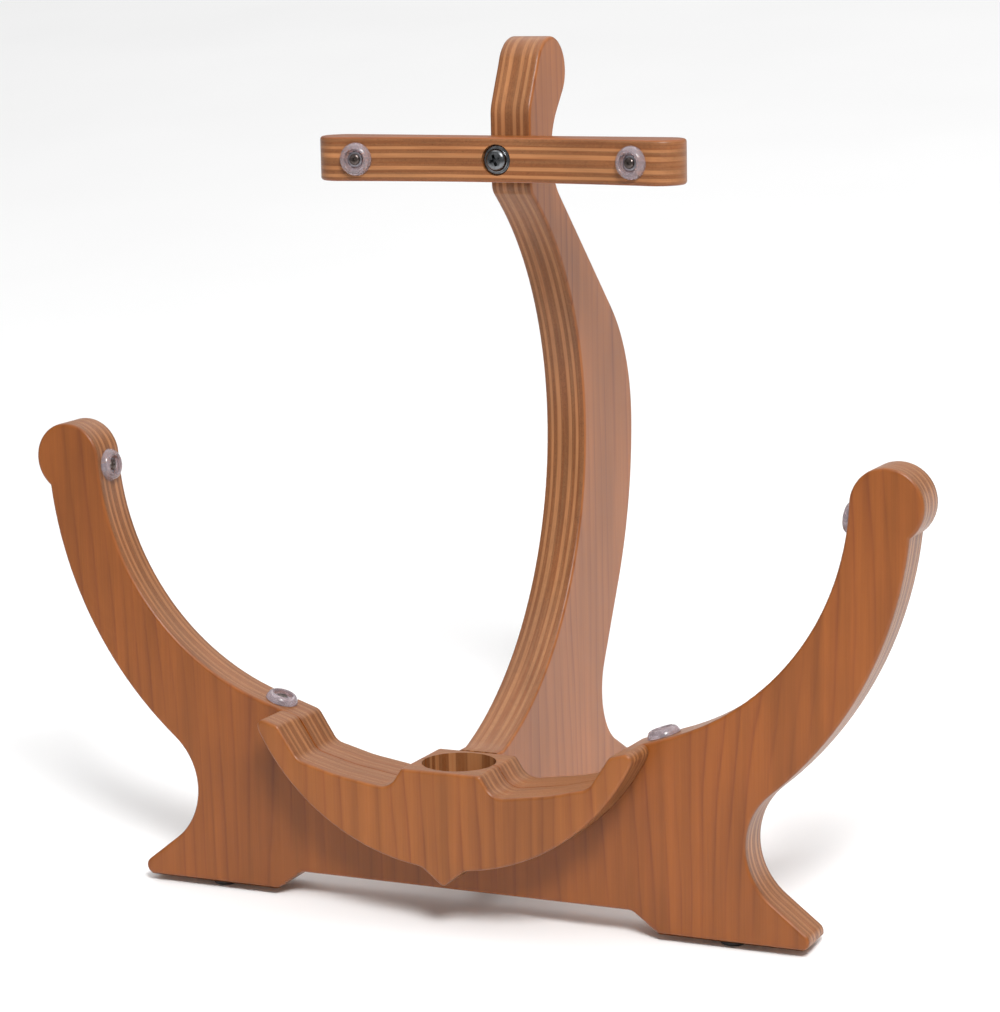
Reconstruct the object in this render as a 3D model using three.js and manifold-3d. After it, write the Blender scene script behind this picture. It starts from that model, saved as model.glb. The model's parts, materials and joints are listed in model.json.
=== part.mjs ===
// Anchor-shaped stand for one guitar, after a ship's anchor: a two-armed cradle plate, a crescent
// lip on its front, an upright behind it and a crossbar that swivels on one screw.
//
// Every wooden part is cut from 3/4 inch plywood. Lengths are millimetres. The parts are drawn in
// the board frame, where x runs along the cradle, y from its front face (0) to its back face and
// z up the board from the underside of its feet. The whole stand then leans back on its feet.
import * as THREE from 'three';
import { mergeVertices } from 'three/addons/utils/BufferGeometryUtils.js';
import Module from 'manifold-3d';

const wasm = await Module();
wasm.setup();

// ---- Driving dimensions -------------------------------------------------------------------

const BOARD = 19.05;              // thickness of the plywood
const GAP = 0.3;                  // glue line or play between neighbours
const LEAN = THREE.MathUtils.degToRad(9);
const CHORD_TOLERANCE = 0.025;    // how far a straight facet may stray from its arc
const OVERCUT = 1;                // how far a cutter starts outside the wood

// Cradle plate, drawn as x and z
const ARCH_HEIGHT = 8.8;
const KNOB = { x: 189.65, y: 186.7, r: 15.68 };
const ARM_OUTSIDE = { x: 33.4, y: 192.4, r: 166.8 };
const ARM_INSIDE = { x: 61.5, y: 192.1 };
const ARM_INSIDE_END = -72;       // degrees, where the inner arc runs out into a straight
const SHOULDER_X = 76.3;
const LEG_WAIST = { x: 159, y: 41.5 };
const HUB_TOP = 65.8;
const HUB_HALF_WIDTH = 18.4;
const HUB_HOLE = { r: 15.875, depth: 22 };

// Crescent lip, drawn as x and z
const LIP_ARC = { x: 0, y: 120.8, r: 97.7 };
const LIP_ARC_FROM = -83;         // degrees
const LIP_ARC_TO = -27.5;         // degrees

// Upright, drawn as y and z
const UPRIGHT_BOW = { x: -18.7, y: 194.2, r: 135.8 };
const UPRIGHT_BELLY = { x: 7.6, y: 190, r: 164 };
const UPRIGHT_KNEE = { x: 95.4, y: 190, r: 76.2 };
const UPRIGHT_NECK = { x: 77.2, y: 316, r: 27 };
const UPRIGHT_HEAD = { x: 87.2, y: 352.4, r: 15.1 };
const UPRIGHT_BROW_Z = 338;
const UPRIGHT_WAIST_Y = 162.5;
const SEAT_Y = 63.6;              // flat on the front edge that carries the crossbar
const SEAT_EASE = 4;              // degrees of the bow given up to round the seat's lower corner

// Crossbar, drawn as x and y
const BAR = { z: 317, halfLength: 84.8, endRadius: 10.5, middleDepth: 14.5 };
const BAR_BACK = SEAT_Y - GAP;

// Clear bumpers, rubber feet and fasteners
const BUMPER = { r: 7.14, height: 3.2, recess: 4.4, floor: 0.8 };
const WASHER = { outer: 3.3, thickness: 0.5 };
const ARM_BUMPER_Z = { left: 183.3, right: 179.8 };
const SEAT_BUMPER_X = 90.4;
const BAR_BUMPER_X = 64.3;
const FOOT = { r: 6.35, height: 3.2, recess: 3.4, recessDepth: 1.5, offset: -38 };
const PIN_SCREW = { r: 1.3, length: 14, headR: 2.4, headHeight: 1.1 };
const FOOT_SCREW = { r: 1.6, length: 14, headR: 2.9, headHeight: 0.9 };
const POST_SCREW = { r: 2.3, length: 46, headR: 4.3, headHeight: 2.8, heights: [25.5, 36.5] };
const PIVOT_SCREW = { r: 2.9, length: 25, flangeR: 5.9, flange: 1.0, domeR: 4.5, dome: 2.5 };
const PIVOT_SINK = { r: 6.7, depth: 2.2 };
const INSERT = { inner: 3.2, outer: 4.6, length: 13, holeDepth: 16 };
const LIP_DOWEL = { r: 4, length: 22, x: 40, z: 45 };

// Height of the feet's underside over the ground
const FOOT_LIFT = FOOT.height + GAP;

// ---- Outlines -----------------------------------------------------------------------------
// An outline is a list of corners, each rounded by its own radius, and arcs. Straight lines join
// one item to the next.

const corner = (x, y, r = 0) => ({ kind: 'corner', x, y, r });
const arc = ({ x, y, r }, from, to) => ({ kind: 'arc', x, y, r, from, to });
const rad = THREE.MathUtils.degToRad;

function arcPoints(x, y, r, from, to) {
  const step = 2 * Math.acos(1 - CHORD_TOLERANCE / r);
  const count = Math.max(2, Math.ceil(Math.abs(to - from) / step));
  return Array.from({ length: count + 1 }, (_, i) => {
    const angle = from + ((to - from) * i) / count;
    return new THREE.Vector2(x + r * Math.cos(angle), y + r * Math.sin(angle));
  });
}

const pointOnArc = (item, angle) =>
  new THREE.Vector2(item.x + item.r * Math.cos(angle), item.y + item.r * Math.sin(angle));

function leavingPoint(item) {
  return item.kind === 'arc' ? pointOnArc(item, item.to) : new THREE.Vector2(item.x, item.y);
}

function arrivingPoint(item) {
  return item.kind === 'arc' ? pointOnArc(item, item.from) : new THREE.Vector2(item.x, item.y);
}

function roundedCorner(item, before, after) {
  const tip = new THREE.Vector2(item.x, item.y);
  if (item.r === 0) return [tip];
  const back = before.clone().sub(tip).normalize();
  const ahead = after.clone().sub(tip).normalize();
  const half = Math.acos(THREE.MathUtils.clamp(back.dot(ahead), -1, 1)) / 2;
  const inward = back.clone().add(ahead).normalize();
  const centre = tip.clone().addScaledVector(inward, item.r / Math.sin(half));
  const start = tip.clone().addScaledVector(back, item.r / Math.tan(half)).sub(centre);
  const end = tip.clone().addScaledVector(ahead, item.r / Math.tan(half)).sub(centre);
  const from = start.angle();
  const turn = Math.atan2(start.cross(end), start.dot(end));
  return arcPoints(centre.x, centre.y, item.r, from, from + turn);
}

function outlinePoints(items) {
  const points = items.flatMap((item, i) => {
    if (item.kind === 'arc') return arcPoints(item.x, item.y, item.r, item.from, item.to);
    const before = leavingPoint(items.at(i - 1));
    const after = arrivingPoint(items[(i + 1) % items.length]);
    return roundedCorner(item, before, after);
  });
  return points.filter((point, i) => point.distanceTo(points.at(i - 1)) > 0.05);
}

function mirrored(items) {
  return items.map((item) => (item.kind === 'arc'
    ? { ...item, x: -item.x, from: Math.PI - item.to, to: Math.PI - item.from }
    : { ...item, x: -item.x })).reverse();
}

// Angle from circle a at which a line leaves it to touch circle b on its other side
function crossingTangentAngle(a, b) {
  const between = Math.atan2(b.y - a.y, b.x - a.x);
  return between + Math.acos((a.r + b.r) / Math.hypot(b.x - a.x, b.y - a.y));
}

// Angle on circle c of the point whose tangent runs through p, on the clockwise side
function tangentAngle(c, p) {
  const towards = Math.atan2(p.y - c.y, p.x - c.x);
  return towards - Math.acos(c.r / Math.hypot(p.x - c.x, p.y - c.y));
}

// Angle on circle a of its crossing with circle b, on the side that `sign` gives
function crossingAngle(a, b, sign) {
  const between = Math.hypot(b.x - a.x, b.y - a.y);
  const cosine = (a.r ** 2 + between ** 2 - b.r ** 2) / (2 * a.r * between);
  return Math.atan2(b.y - a.y, b.x - a.x) + sign * Math.acos(cosine);
}

// The foot that all three legs share, as offsets from the centre of the leg's waist
const FOOT_TOE = { x: 5.4, y: -LEG_WAIST.y };
const FOOT_HEEL = { x: -68.7, y: -LEG_WAIST.y };
const FOOT_STEP = { x: -80.5, y: ARCH_HEIGHT - LEG_WAIST.y };

function turned(offset, centre, angle) {
  return {
    x: centre.x + offset.x * Math.cos(angle) - offset.y * Math.sin(angle),
    y: centre.y + offset.x * Math.sin(angle) + offset.y * Math.cos(angle),
  };
}

const legWaist = {
  ...LEG_WAIST,
  r: Math.hypot(LEG_WAIST.x - ARM_OUTSIDE.x, LEG_WAIST.y - ARM_OUTSIDE.y) - ARM_OUTSIDE.r,
};
const armInside = {
  ...ARM_INSIDE,
  r: Math.hypot(KNOB.x - ARM_INSIDE.x, KNOB.y - ARM_INSIDE.y) - KNOB.r,
};

// The straight ramp from the end of the inner arc down to the shoulder, as height over x
const armEndAngle = rad(ARM_INSIDE_END);
const armEnd = pointOnArc(armInside, armEndAngle);
const rampZ = (x) => armEnd.y + (armEnd.x - x) / Math.tan(armEndAngle);
const shoulderZ = rampZ(SHOULDER_X);

// Pocket and hub along the top of the cradle's middle and of the lip, from right to left
function pocketItems() {
  return [
    corner(67.8, 65, 7),
    corner(50, 60.4, 50),
    corner(24.3, 56.5, 8),
    corner(HUB_HALF_WIDTH, HUB_TOP, 2),
  ];
}

function cradleOutline() {
  const toe = turned(FOOT_TOE, LEG_WAIST, 0);
  const heel = turned(FOOT_HEEL, LEG_WAIST, 0);
  const step = turned(FOOT_STEP, LEG_WAIST, 0);
  const waistTop = Math.atan2(ARM_OUTSIDE.y - legWaist.y, ARM_OUTSIDE.x - legWaist.x);
  const knobToArm = Math.atan2(armInside.y - KNOB.y, armInside.x - KNOB.x);
  const right = [
    corner(step.x, step.y, 5),
    corner(heel.x, heel.y, 5),
    corner(toe.x, toe.y, 3.8),
    arc(legWaist, tangentAngle(legWaist, toe) + 2 * Math.PI, waistTop),
    arc(ARM_OUTSIDE, waistTop - Math.PI, crossingAngle(ARM_OUTSIDE, KNOB, -1)),
    arc(KNOB, crossingAngle(KNOB, ARM_OUTSIDE, 1) - 2 * Math.PI, knobToArm),
    arc(armInside, knobToArm - Math.PI, rad(ARM_INSIDE_END)),
    corner(SHOULDER_X, shoulderZ, 5),
    ...pocketItems(),
  ];
  return outlinePoints([...right, ...mirrored(right)]);
}

function lipOutline() {
  const right = [
    corner(9.5, 23.2, 5),
    arc(LIP_ARC, rad(LIP_ARC_FROM), rad(LIP_ARC_TO)),
    corner(89.2, 82.8, 3),
    corner(77.2, 79.2, 4),
    ...pocketItems(),
  ];
  return outlinePoints([corner(0, 15.6, 2.2), ...right, ...mirrored(right)]);
}

// The upright's foot stands on the same ground as the cradle's, which fixes its waist's height
const uprightWaist = {
  x: UPRIGHT_WAIST_Y,
  y: (LEG_WAIST.y + UPRIGHT_WAIST_Y * Math.sin(LEAN)) / Math.cos(LEAN),
  r: legWaist.r,
};

// Height at which the bow's tangent at that angle runs into the crossbar's seat
function tangentMeetsSeat(angle) {
  const onBow = pointOnArc(UPRIGHT_BOW, angle);
  return onBow.y + ((onBow.x - SEAT_Y) * Math.cos(angle)) / Math.sin(angle);
}

function uprightOutline() {
  const front = BOARD + GAP;
  const toe = turned(FOOT_TOE, uprightWaist, LEAN);
  const heel = turned(FOOT_HEEL, uprightWaist, LEAN);
  const step = turned(FOOT_STEP, uprightWaist, LEAN);
  const backLine = crossingTangentAngle(UPRIGHT_BELLY, uprightWaist);
  const bowStart = Math.acos((SEAT_Y - UPRIGHT_BOW.x) / UPRIGHT_BOW.r) - rad(SEAT_EASE);
  const hubEnd = Math.asin((HUB_TOP - UPRIGHT_BOW.y) / UPRIGHT_BOW.r);
  return outlinePoints([
    corner(front, step.y - (step.x - front) * Math.tan(LEAN)),
    corner(step.x, step.y, 5),
    corner(heel.x, heel.y, 5),
    corner(toe.x, toe.y, 3.8),
    arc(uprightWaist, tangentAngle(uprightWaist, toe) + 2 * Math.PI, backLine + Math.PI),
    arc(UPRIGHT_BELLY, backLine, 0),
    arc(UPRIGHT_KNEE, 0, rad(45)),
    corner(UPRIGHT_NECK.x, UPRIGHT_NECK.y, UPRIGHT_NECK.r),
    arc(UPRIGHT_HEAD, rad(-40), rad(162)),
    corner(SEAT_Y, UPRIGHT_BROW_Z, 14),
    corner(SEAT_Y, tangentMeetsSeat(bowStart), 6),
    arc(UPRIGHT_BOW, bowStart, hubEnd),
    corner(front, HUB_TOP),
  ]);
}

// The bar is flat at the back and hollow at the front, with round ends. Its outline is centred on
// the pivot, with y = 0 at the back face.
const barEnd = { x: BAR.halfLength - BAR.endRadius, y: -BAR.endRadius, r: BAR.endRadius };
const barRise = BAR.middleDepth - BAR.endRadius;
const barHollow = {
  x: 0,
  r: (barEnd.x ** 2 + barRise ** 2 - BAR.endRadius ** 2) / (2 * (BAR.endRadius - barRise)),
};
barHollow.y = -BAR.middleDepth - barHollow.r;

// Depth of the bar's front face at x
const barFrontAt = (x) => barHollow.y + Math.sqrt(barHollow.r ** 2 - x ** 2);

function barOutline() {
  const toEnd = Math.atan2(barEnd.y - barHollow.y, barEnd.x);
  return outlinePoints([
    arc(barHollow, Math.PI - toEnd, toEnd),
    arc(barEnd, toEnd - Math.PI, rad(90)),
    arc({ ...barEnd, x: -barEnd.x }, rad(90), 2 * Math.PI - toEnd),
  ]);
}

// ---- Solids -------------------------------------------------------------------------------

function toManifold(geometry) {
  const bare = geometry.clone();
  bare.deleteAttribute('normal');
  bare.deleteAttribute('uv');
  const merged = mergeVertices(bare, 1e-4);
  return new wasm.Manifold(new wasm.Mesh({
    numProp: 3,
    vertProperties: Float32Array.from(merged.attributes.position.array),
    triVerts: Uint32Array.from(merged.index.array),
  }));
}

function fromManifold(solid) {
  const mesh = solid.getMesh();
  const geometry = new THREE.BufferGeometry();
  geometry.setAttribute('position', new THREE.BufferAttribute(mesh.vertProperties, 3));
  geometry.setIndex(new THREE.BufferAttribute(mesh.triVerts, 1));
  const flat = geometry.toNonIndexed();
  flat.computeVertexNormals();
  return flat;
}

function cut(geometry, ...tools) {
  const whole = toManifold(geometry);
  return fromManifold(tools.reduce((solid, tool) => solid.subtract(toManifold(tool)), whole));
}

// A square-edged board of the given thickness, from z = 0 to z = thickness
function boardGeometry(points, thickness) {
  return new THREE.ExtrudeGeometry(new THREE.Shape(points), { depth: thickness, bevelEnabled: false });
}

// Board standing across y, from y = 0 to y = -thickness
const standAcross = (geometry) => geometry.rotateX(Math.PI / 2);

// Board standing along y, with its outline's x as y and its thickness along x
function standAlong(geometry) {
  const turn = new THREE.Matrix4().makeBasis(
    new THREE.Vector3(0, 1, 0),
    new THREE.Vector3(0, 0, 1),
    new THREE.Vector3(1, 0, 0),
  );
  return geometry.applyMatrix4(turn);
}

// A turned part from radius and height pairs, standing on z = 0 with its axis along z
function turnedGeometry(profile, segments = 24) {
  const points = profile.map(([r, z]) => new THREE.Vector2(r, z));
  return new THREE.LatheGeometry(points, segments).rotateX(Math.PI / 2);
}

const closedProfile = (profile) => [...profile, profile[0]];

// Solid rod from `low` to `high` along z
function rod(r, low, high, segments = 24) {
  const length = high - low;
  const geometry = new THREE.CylinderGeometry(r, r, length, segments);
  return geometry.rotateX(Math.PI / 2).translate(0, 0, low + length / 2);
}

function bumperGeometry() {
  const { r, height, recess, floor } = BUMPER;
  const hole = PIN_SCREW.r + GAP;
  return turnedGeometry(closedProfile([
    [hole, 0],
    [r, 0],
    [r, 0.2 * height],
    [r - 0.3, 0.4 * height],
    [r - 0.9, 0.68 * height],
    [r - 1.6, 0.89 * height],
    [r - 2.3, height],
    [recess + 0.15, 0.98 * height],
    [recess, 0.88 * height],
    [recess, floor],
    [hole, floor],
  ]));
}

function washerGeometry() {
  const { outer, thickness } = WASHER;
  const low = BUMPER.floor + GAP;
  const high = low + thickness;
  const inner = PIN_SCREW.r + GAP;
  return turnedGeometry(closedProfile([[inner, low], [outer, low], [outer, high], [inner, high]]));
}

// Round-headed screw with the underside of its head at z = 0 and its shank below
function panScrewGeometry({ r, length, headR, headHeight }) {
  return turnedGeometry([
    [0, -length],
    [r * 0.5, -length + 1.5 * r],
    [r, -length + 4 * r],
    [r, 0],
    [headR, 0],
    [headR * 0.96, headHeight * 0.45],
    [headR * 0.72, headHeight * 0.88],
    [0, headHeight],
  ], 20);
}

function footGeometry() {
  const { r, height, recess, recessDepth } = FOOT;
  const hole = FOOT_SCREW.r + GAP;
  return turnedGeometry(closedProfile([
    [hole, 0],
    [r, 0],
    [r, height - 1.0],
    [r - 0.8, height],
    [recess, height],
    [recess, height - recessDepth],
    [hole, height - recessDepth],
  ]));
}

// Countersunk screw with its face at z = 0
function countersunkScrewGeometry({ r, length, headR, headHeight }) {
  return turnedGeometry([
    [0, -length],
    [r * 0.4, -length + 2 * r],
    [r, -length + 5 * r],
    [r, -headHeight],
    [headR, 0],
    [0, 0],
  ], 20);
}

function countersinkTool({ r, length, headR, headHeight }) {
  return turnedGeometry([
    [0, -length - OVERCUT],
    [r + GAP, -length - OVERCUT],
    [r + GAP, -headHeight - GAP],
    [headR + GAP, 0],
    [headR + GAP, OVERCUT],
    [0, OVERCUT],
  ], 20);
}

function pivotScrewGeometry() {
  const { r, length, flangeR, flange, domeR, dome } = PIVOT_SCREW;
  const top = flange + dome;
  const body = turnedGeometry([
    [0, -length],
    [r - 0.6, -length],
    [r, -length + 0.8],
    [r, 0],
    [flangeR, 0],
    [flangeR, flange * 0.6],
    [domeR, flange],
    [domeR * 0.93, flange + dome * 0.5],
    [domeR * 0.66, flange + dome * 0.9],
    [0, top],
  ], 32);
  const slot = { length: 5.2, width: 1.1, depth: 1.9 };
  const blade = new THREE.BoxGeometry(slot.length, slot.width, 2 * slot.depth);
  blade.translate(0, 0, top);
  return cut(body, blade, blade.clone().rotateZ(Math.PI / 2));
}

function insertGeometry() {
  const { inner, outer, length } = INSERT;
  return turnedGeometry(closedProfile([[inner, 0], [outer, 0], [outer, length], [inner, length]]));
}

// Point a shape drawn along +z in the direction (x, y, z) and move it to `at`
function aimed(geometry, at, direction) {
  const drawn = new THREE.Vector3(0, 0, 1);
  const turn = new THREE.Quaternion().setFromUnitVectors(drawn, direction.clone().normalize());
  return geometry.applyQuaternion(turn).translate(at.x, at.y, at.z);
}

// ---- Places of the bumpers and feet, in the board frame --------------------------------------

const vec = (x, y, z) => new THREE.Vector3(x, y, z);

const middle = BOARD / 2;

// On the arm's inner arc at height z
function armSeat(name, side, z) {
  const angle = Math.asin((z - armInside.y) / armInside.r);
  const x = armInside.x + armInside.r * Math.cos(angle);
  const out = vec(-side * Math.cos(angle), 0, -Math.sin(angle));
  return { name: `bumper_arm_${name}`, at: vec(side * x, middle, z), out };
}

// On the ramp that runs down from the arm to the shoulder
function rampSeat(name, side) {
  const at = vec(side * SEAT_BUMPER_X, middle, rampZ(SEAT_BUMPER_X));
  const out = vec(-side * Math.cos(armEndAngle), 0, -Math.sin(armEndAngle));
  return { name: `bumper_seat_${name}`, at, out };
}

function cradleBumperSeats() {
  return [['left', -1], ['right', 1]].flatMap(([name, side]) => [
    armSeat(name, side, ARM_BUMPER_Z[name]),
    rampSeat(name, side),
  ]);
}

// Seen from the pivot of the crossbar
function barBumperSeats() {
  return [-1, 1].map((side) => {
    const x = side * BAR_BUMPER_X;
    const name = `bumper_bar_${side < 0 ? 'left' : 'right'}`;
    return { name, at: vec(x, barFrontAt(x), 0), out: vec(-x, barHollow.y - barFrontAt(x), 0) };
  });
}

// The feet's undersides lie in one plane through the cradle's front bottom edge
function footSeats() {
  const x = LEG_WAIST.x + FOOT.offset;
  const rear = turned({ x: FOOT.offset, y: -LEG_WAIST.y }, uprightWaist, LEAN);
  return [
    { name: 'foot_left', at: vec(-x, middle, middle * Math.tan(LEAN)) },
    { name: 'foot_right', at: vec(x, middle, middle * Math.tan(LEAN)) },
    { name: 'foot_rear', at: vec(0, rear.x, rear.y) },
  ].map((seat) => ({ ...seat, out: vec(0, Math.sin(LEAN), -Math.cos(LEAN)) }));
}

// ---- Materials ------------------------------------------------------------------------------

function finish(color, roughness, metalness = 0) {
  return new THREE.MeshStandardMaterial({ color, roughness, metalness });
}

const cherry = () => finish(0xa0603a, 0.42);
const cherryLip = () => finish(0xa8683e, 0.42);
const cherryUpright = () => finish(0xb07c60, 0.4);
const cherryBar = () => finish(0xac7044, 0.45);
const clearVinyl = () => finish(0xc9bcb8, 0.2);
const zincSteel = () => finish(0x77737a, 0.35, 0.9);
const blackSteel = () => finish(0x35343a, 0.35, 0.9);
const gunmetal = () => finish(0x4a4d52, 0.28, 1);
const brass = () => finish(0xb08d4a, 0.35, 1);
const darkRubber = () => finish(0x2a2422, 0.85);
const beech = () => finish(0xc9a070, 0.7);

function mesh(name, geometry, material) {
  const object = new THREE.Mesh(geometry, material);
  object.name = name;
  return object;
}

// ---- Wooden parts ---------------------------------------------------------------------------

// Clearance hole for a pin screw under a bumper, in the frame of the board that carries it
function pinHole(seat) {
  return aimed(rod(PIN_SCREW.r + GAP, -PIN_SCREW.length, OVERCUT, 16), seat.at, seat.out);
}

function footHole(seat) {
  return aimed(rod(FOOT_SCREW.r + GAP, -FOOT_SCREW.length, OVERCUT, 16), seat.at, seat.out);
}

const hubHole = () => rod(HUB_HOLE.r, HUB_TOP - HUB_HOLE.depth, HUB_TOP + OVERCUT, 64);

function dowelHoles() {
  return [-1, 1].map((side) => aimed(
    rod(LIP_DOWEL.r + GAP, -LIP_DOWEL.length / 2 - GAP, LIP_DOWEL.length / 2 + GAP, 20),
    vec(side * LIP_DOWEL.x, 0, LIP_DOWEL.z),
    vec(0, 1, 0),
  ));
}

// Wedge under the feet that lets the leaning cradle stand flat
function footBevel() {
  const height = 60;
  const wedge = new THREE.BoxGeometry(500, 200, height).translate(0, 0, -height / 2);
  return wedge.rotateX(LEAN);
}

function makeCradle() {
  const board = standAcross(boardGeometry(cradleOutline(), BOARD)).translate(0, BOARD, 0);
  const screwHoles = POST_SCREW.heights.map((z) =>
    aimed(countersinkTool(POST_SCREW), vec(0, GAP, z), vec(0, -1, 0)));
  const geometry = cut(
    board,
    footBevel(),
    hubHole(),
    ...dowelHoles(),
    ...screwHoles,
    ...cradleBumperSeats().map(pinHole),
    ...footSeats().slice(0, 2).map(footHole),
  );
  return mesh('cradle', geometry, cherry());
}

function makeLip() {
  const board = standAcross(boardGeometry(lipOutline(), BOARD - GAP)).translate(0, -GAP, 0);
  return mesh('lip', cut(board, hubHole(), ...dowelHoles()), cherryLip());
}

function makeUpright() {
  const board = standAlong(boardGeometry(uprightOutline(), BOARD)).translate(-BOARD / 2, 0, 0);
  const pivot = vec(0, SEAT_Y, BAR.z);
  const insertHole = aimed(rod(INSERT.outer + GAP, -INSERT.holeDepth, OVERCUT), pivot, vec(0, -1, 0));
  const screwHoles = POST_SCREW.heights.map((z) => aimed(
    rod(POST_SCREW.r + GAP, -POST_SCREW.length - OVERCUT, 0, 16),
    vec(0, 0, z),
    vec(0, -1, 0),
  ));
  const rearFootHole = footHole(footSeats()[2]);
  return mesh('upright', cut(board, insertHole, ...screwHoles, rearFootHole), cherryUpright());
}

function makeBar() {
  const board = boardGeometry(barOutline(), BOARD).translate(0, 0, -BOARD / 2);
  const front = -BAR.middleDepth;
  const shank = rod(PIVOT_SCREW.r + GAP, -BAR.middleDepth - OVERCUT, OVERCUT);
  const shankHole = aimed(shank, vec(0, front, 0), vec(0, -1, 0));
  const sinkTool = rod(PIVOT_SINK.r, -PIVOT_SINK.depth, OVERCUT, 32);
  const sink = aimed(sinkTool, vec(0, front, 0), vec(0, -1, 0));
  return mesh('crossbar', cut(board, shankHole, sink, ...barBumperSeats().map(pinHole)), cherryBar());
}

// ---- Hardware -------------------------------------------------------------------------------

// Bumper, washer and screw on one seat, in the frame of the board that carries them
function bumperStack({ name, at, out }) {
  const place = (geometry, lift) => aimed(geometry.translate(0, 0, lift), at, out);
  const headLift = BUMPER.floor + WASHER.thickness + 3 * GAP;
  return [
    mesh(name, place(bumperGeometry(), GAP), clearVinyl()),
    mesh(`${name}_washer`, place(washerGeometry(), GAP), zincSteel()),
    mesh(`${name}_screw`, place(panScrewGeometry(PIN_SCREW), headLift), blackSteel()),
  ];
}

function footStack({ name, at, out }) {
  const place = (geometry, lift) => aimed(geometry.translate(0, 0, lift), at, out);
  const headLift = GAP + FOOT.height - FOOT.recessDepth + GAP;
  return [
    mesh(name, place(footGeometry(), GAP), darkRubber()),
    mesh(`${name}_screw`, place(panScrewGeometry(FOOT_SCREW), headLift), blackSteel()),
  ];
}

function postScrews() {
  return POST_SCREW.heights.map((z, i) => mesh(
    `post_screw_${i === 0 ? 'lower' : 'upper'}`,
    aimed(countersunkScrewGeometry(POST_SCREW), vec(0, 2 * GAP, z), vec(0, -1, 0)),
    zincSteel(),
  ));
}

function lipDowels() {
  return [-1, 1].map((side) => mesh(
    `lip_dowel_${side < 0 ? 'left' : 'right'}`,
    aimed(
      rod(LIP_DOWEL.r, -LIP_DOWEL.length / 2, LIP_DOWEL.length / 2, 20),
      vec(side * LIP_DOWEL.x, 0, LIP_DOWEL.z),
      vec(0, 1, 0),
    ),
    beech(),
  ));
}

function pivotInsert() {
  const geometry = aimed(insertGeometry(), vec(0, SEAT_Y + GAP, BAR.z), vec(0, 1, 0));
  return mesh('crossbar_insert', geometry, brass());
}

function pivotScrew() {
  const headSeat = BAR_BACK - BAR.middleDepth + PIVOT_SINK.depth - GAP;
  const geometry = aimed(pivotScrewGeometry(), vec(0, headSeat, BAR.z), vec(0, -1, 0));
  return mesh('crossbar_screw', geometry, gunmetal());
}

// The crossbar turns about its screw, so it and its bumpers are one group placed at the pivot
function crossbarGroup() {
  const group = new THREE.Group();
  group.position.set(0, BAR_BACK, BAR.z);
  group.add(makeBar(), ...barBumperSeats().flatMap(bumperStack));
  return group;
}

// ---- Assembly -------------------------------------------------------------------------------

// Board frame to ground: lean back, then rest on the rubber feet
const leaning = new THREE.Group();
leaning.rotation.x = -LEAN;
leaning.position.z = FOOT_LIFT;
leaning.add(
  makeCradle(),
  makeLip(),
  makeUpright(),
  crossbarGroup(),
  pivotScrew(),
  pivotInsert(),
  ...cradleBumperSeats().flatMap(bumperStack),
  ...footSeats().flatMap(footStack),
  ...postScrews(),
  ...lipDowels(),
);

// The stand's origin is on the ground under the middle of its overall box
const stand = new THREE.Group();
stand.add(leaning);
const box = new THREE.Box3().setFromObject(stand, true);
stand.position.set(0, -(box.min.y + box.max.y) / 2, -box.min.z);

export default stand;
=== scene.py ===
"""Anchor-shaped plywood guitar stand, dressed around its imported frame.

The four boards are cut from the frame's own solids, get a real round-over along their routed edges and a
laminated cherry finish that knows each board's plies. Bumpers, washers, screws and feet are turned anew.
Lengths are metres, in the frame's own axes.
"""

from __future__ import annotations

import json
import logging
import math
from dataclasses import dataclass
from enum import Enum
from typing import Callable, ClassVar, Sequence, Union

import bmesh
import bpy
from mathutils import Matrix, Quaternion, Vector


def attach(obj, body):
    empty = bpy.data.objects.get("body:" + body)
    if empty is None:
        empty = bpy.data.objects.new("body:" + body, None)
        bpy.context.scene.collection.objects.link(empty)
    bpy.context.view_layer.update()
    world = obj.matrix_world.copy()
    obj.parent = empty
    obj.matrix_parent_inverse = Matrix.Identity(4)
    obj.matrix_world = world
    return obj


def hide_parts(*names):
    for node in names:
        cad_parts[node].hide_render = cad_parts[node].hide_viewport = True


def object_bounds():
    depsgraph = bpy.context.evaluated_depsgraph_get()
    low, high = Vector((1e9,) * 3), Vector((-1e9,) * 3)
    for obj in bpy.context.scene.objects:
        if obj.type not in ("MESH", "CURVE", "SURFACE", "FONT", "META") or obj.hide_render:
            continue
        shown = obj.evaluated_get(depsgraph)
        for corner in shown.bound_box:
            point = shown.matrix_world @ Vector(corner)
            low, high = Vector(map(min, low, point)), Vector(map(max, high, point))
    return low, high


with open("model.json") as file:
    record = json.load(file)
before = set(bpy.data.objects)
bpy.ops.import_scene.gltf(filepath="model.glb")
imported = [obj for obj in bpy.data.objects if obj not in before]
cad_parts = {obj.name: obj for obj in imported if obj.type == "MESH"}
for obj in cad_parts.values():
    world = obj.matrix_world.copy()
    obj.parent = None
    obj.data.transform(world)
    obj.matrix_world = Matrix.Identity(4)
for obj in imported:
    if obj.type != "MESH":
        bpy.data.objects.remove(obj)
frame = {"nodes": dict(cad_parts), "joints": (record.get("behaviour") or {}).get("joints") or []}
CAD_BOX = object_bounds()

log = logging.getLogger("guitar_stand")
logging.basicConfig(level=logging.INFO, format="%(name)s: %(message)s")

MM = 0.001
BOARD = 19.05 * MM
TIMBER_SHARP = 35.0
TURNED_SHARP = 50.0

Colour = tuple[float, float, float]
Triple = tuple[float, float, float]
Outline = list[tuple[float, float]]
Socket = bpy.types.NodeSocket
SocketOrValue = Union[Socket, float, tuple]


def linear_share(value: int) -> float:
    """Turns one channel of 0 to 255 into its linear share."""
    share = value / 255
    return share / 12.92 if share <= 0.04045 else ((share + 0.055) / 1.055) ** 2.4


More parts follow.
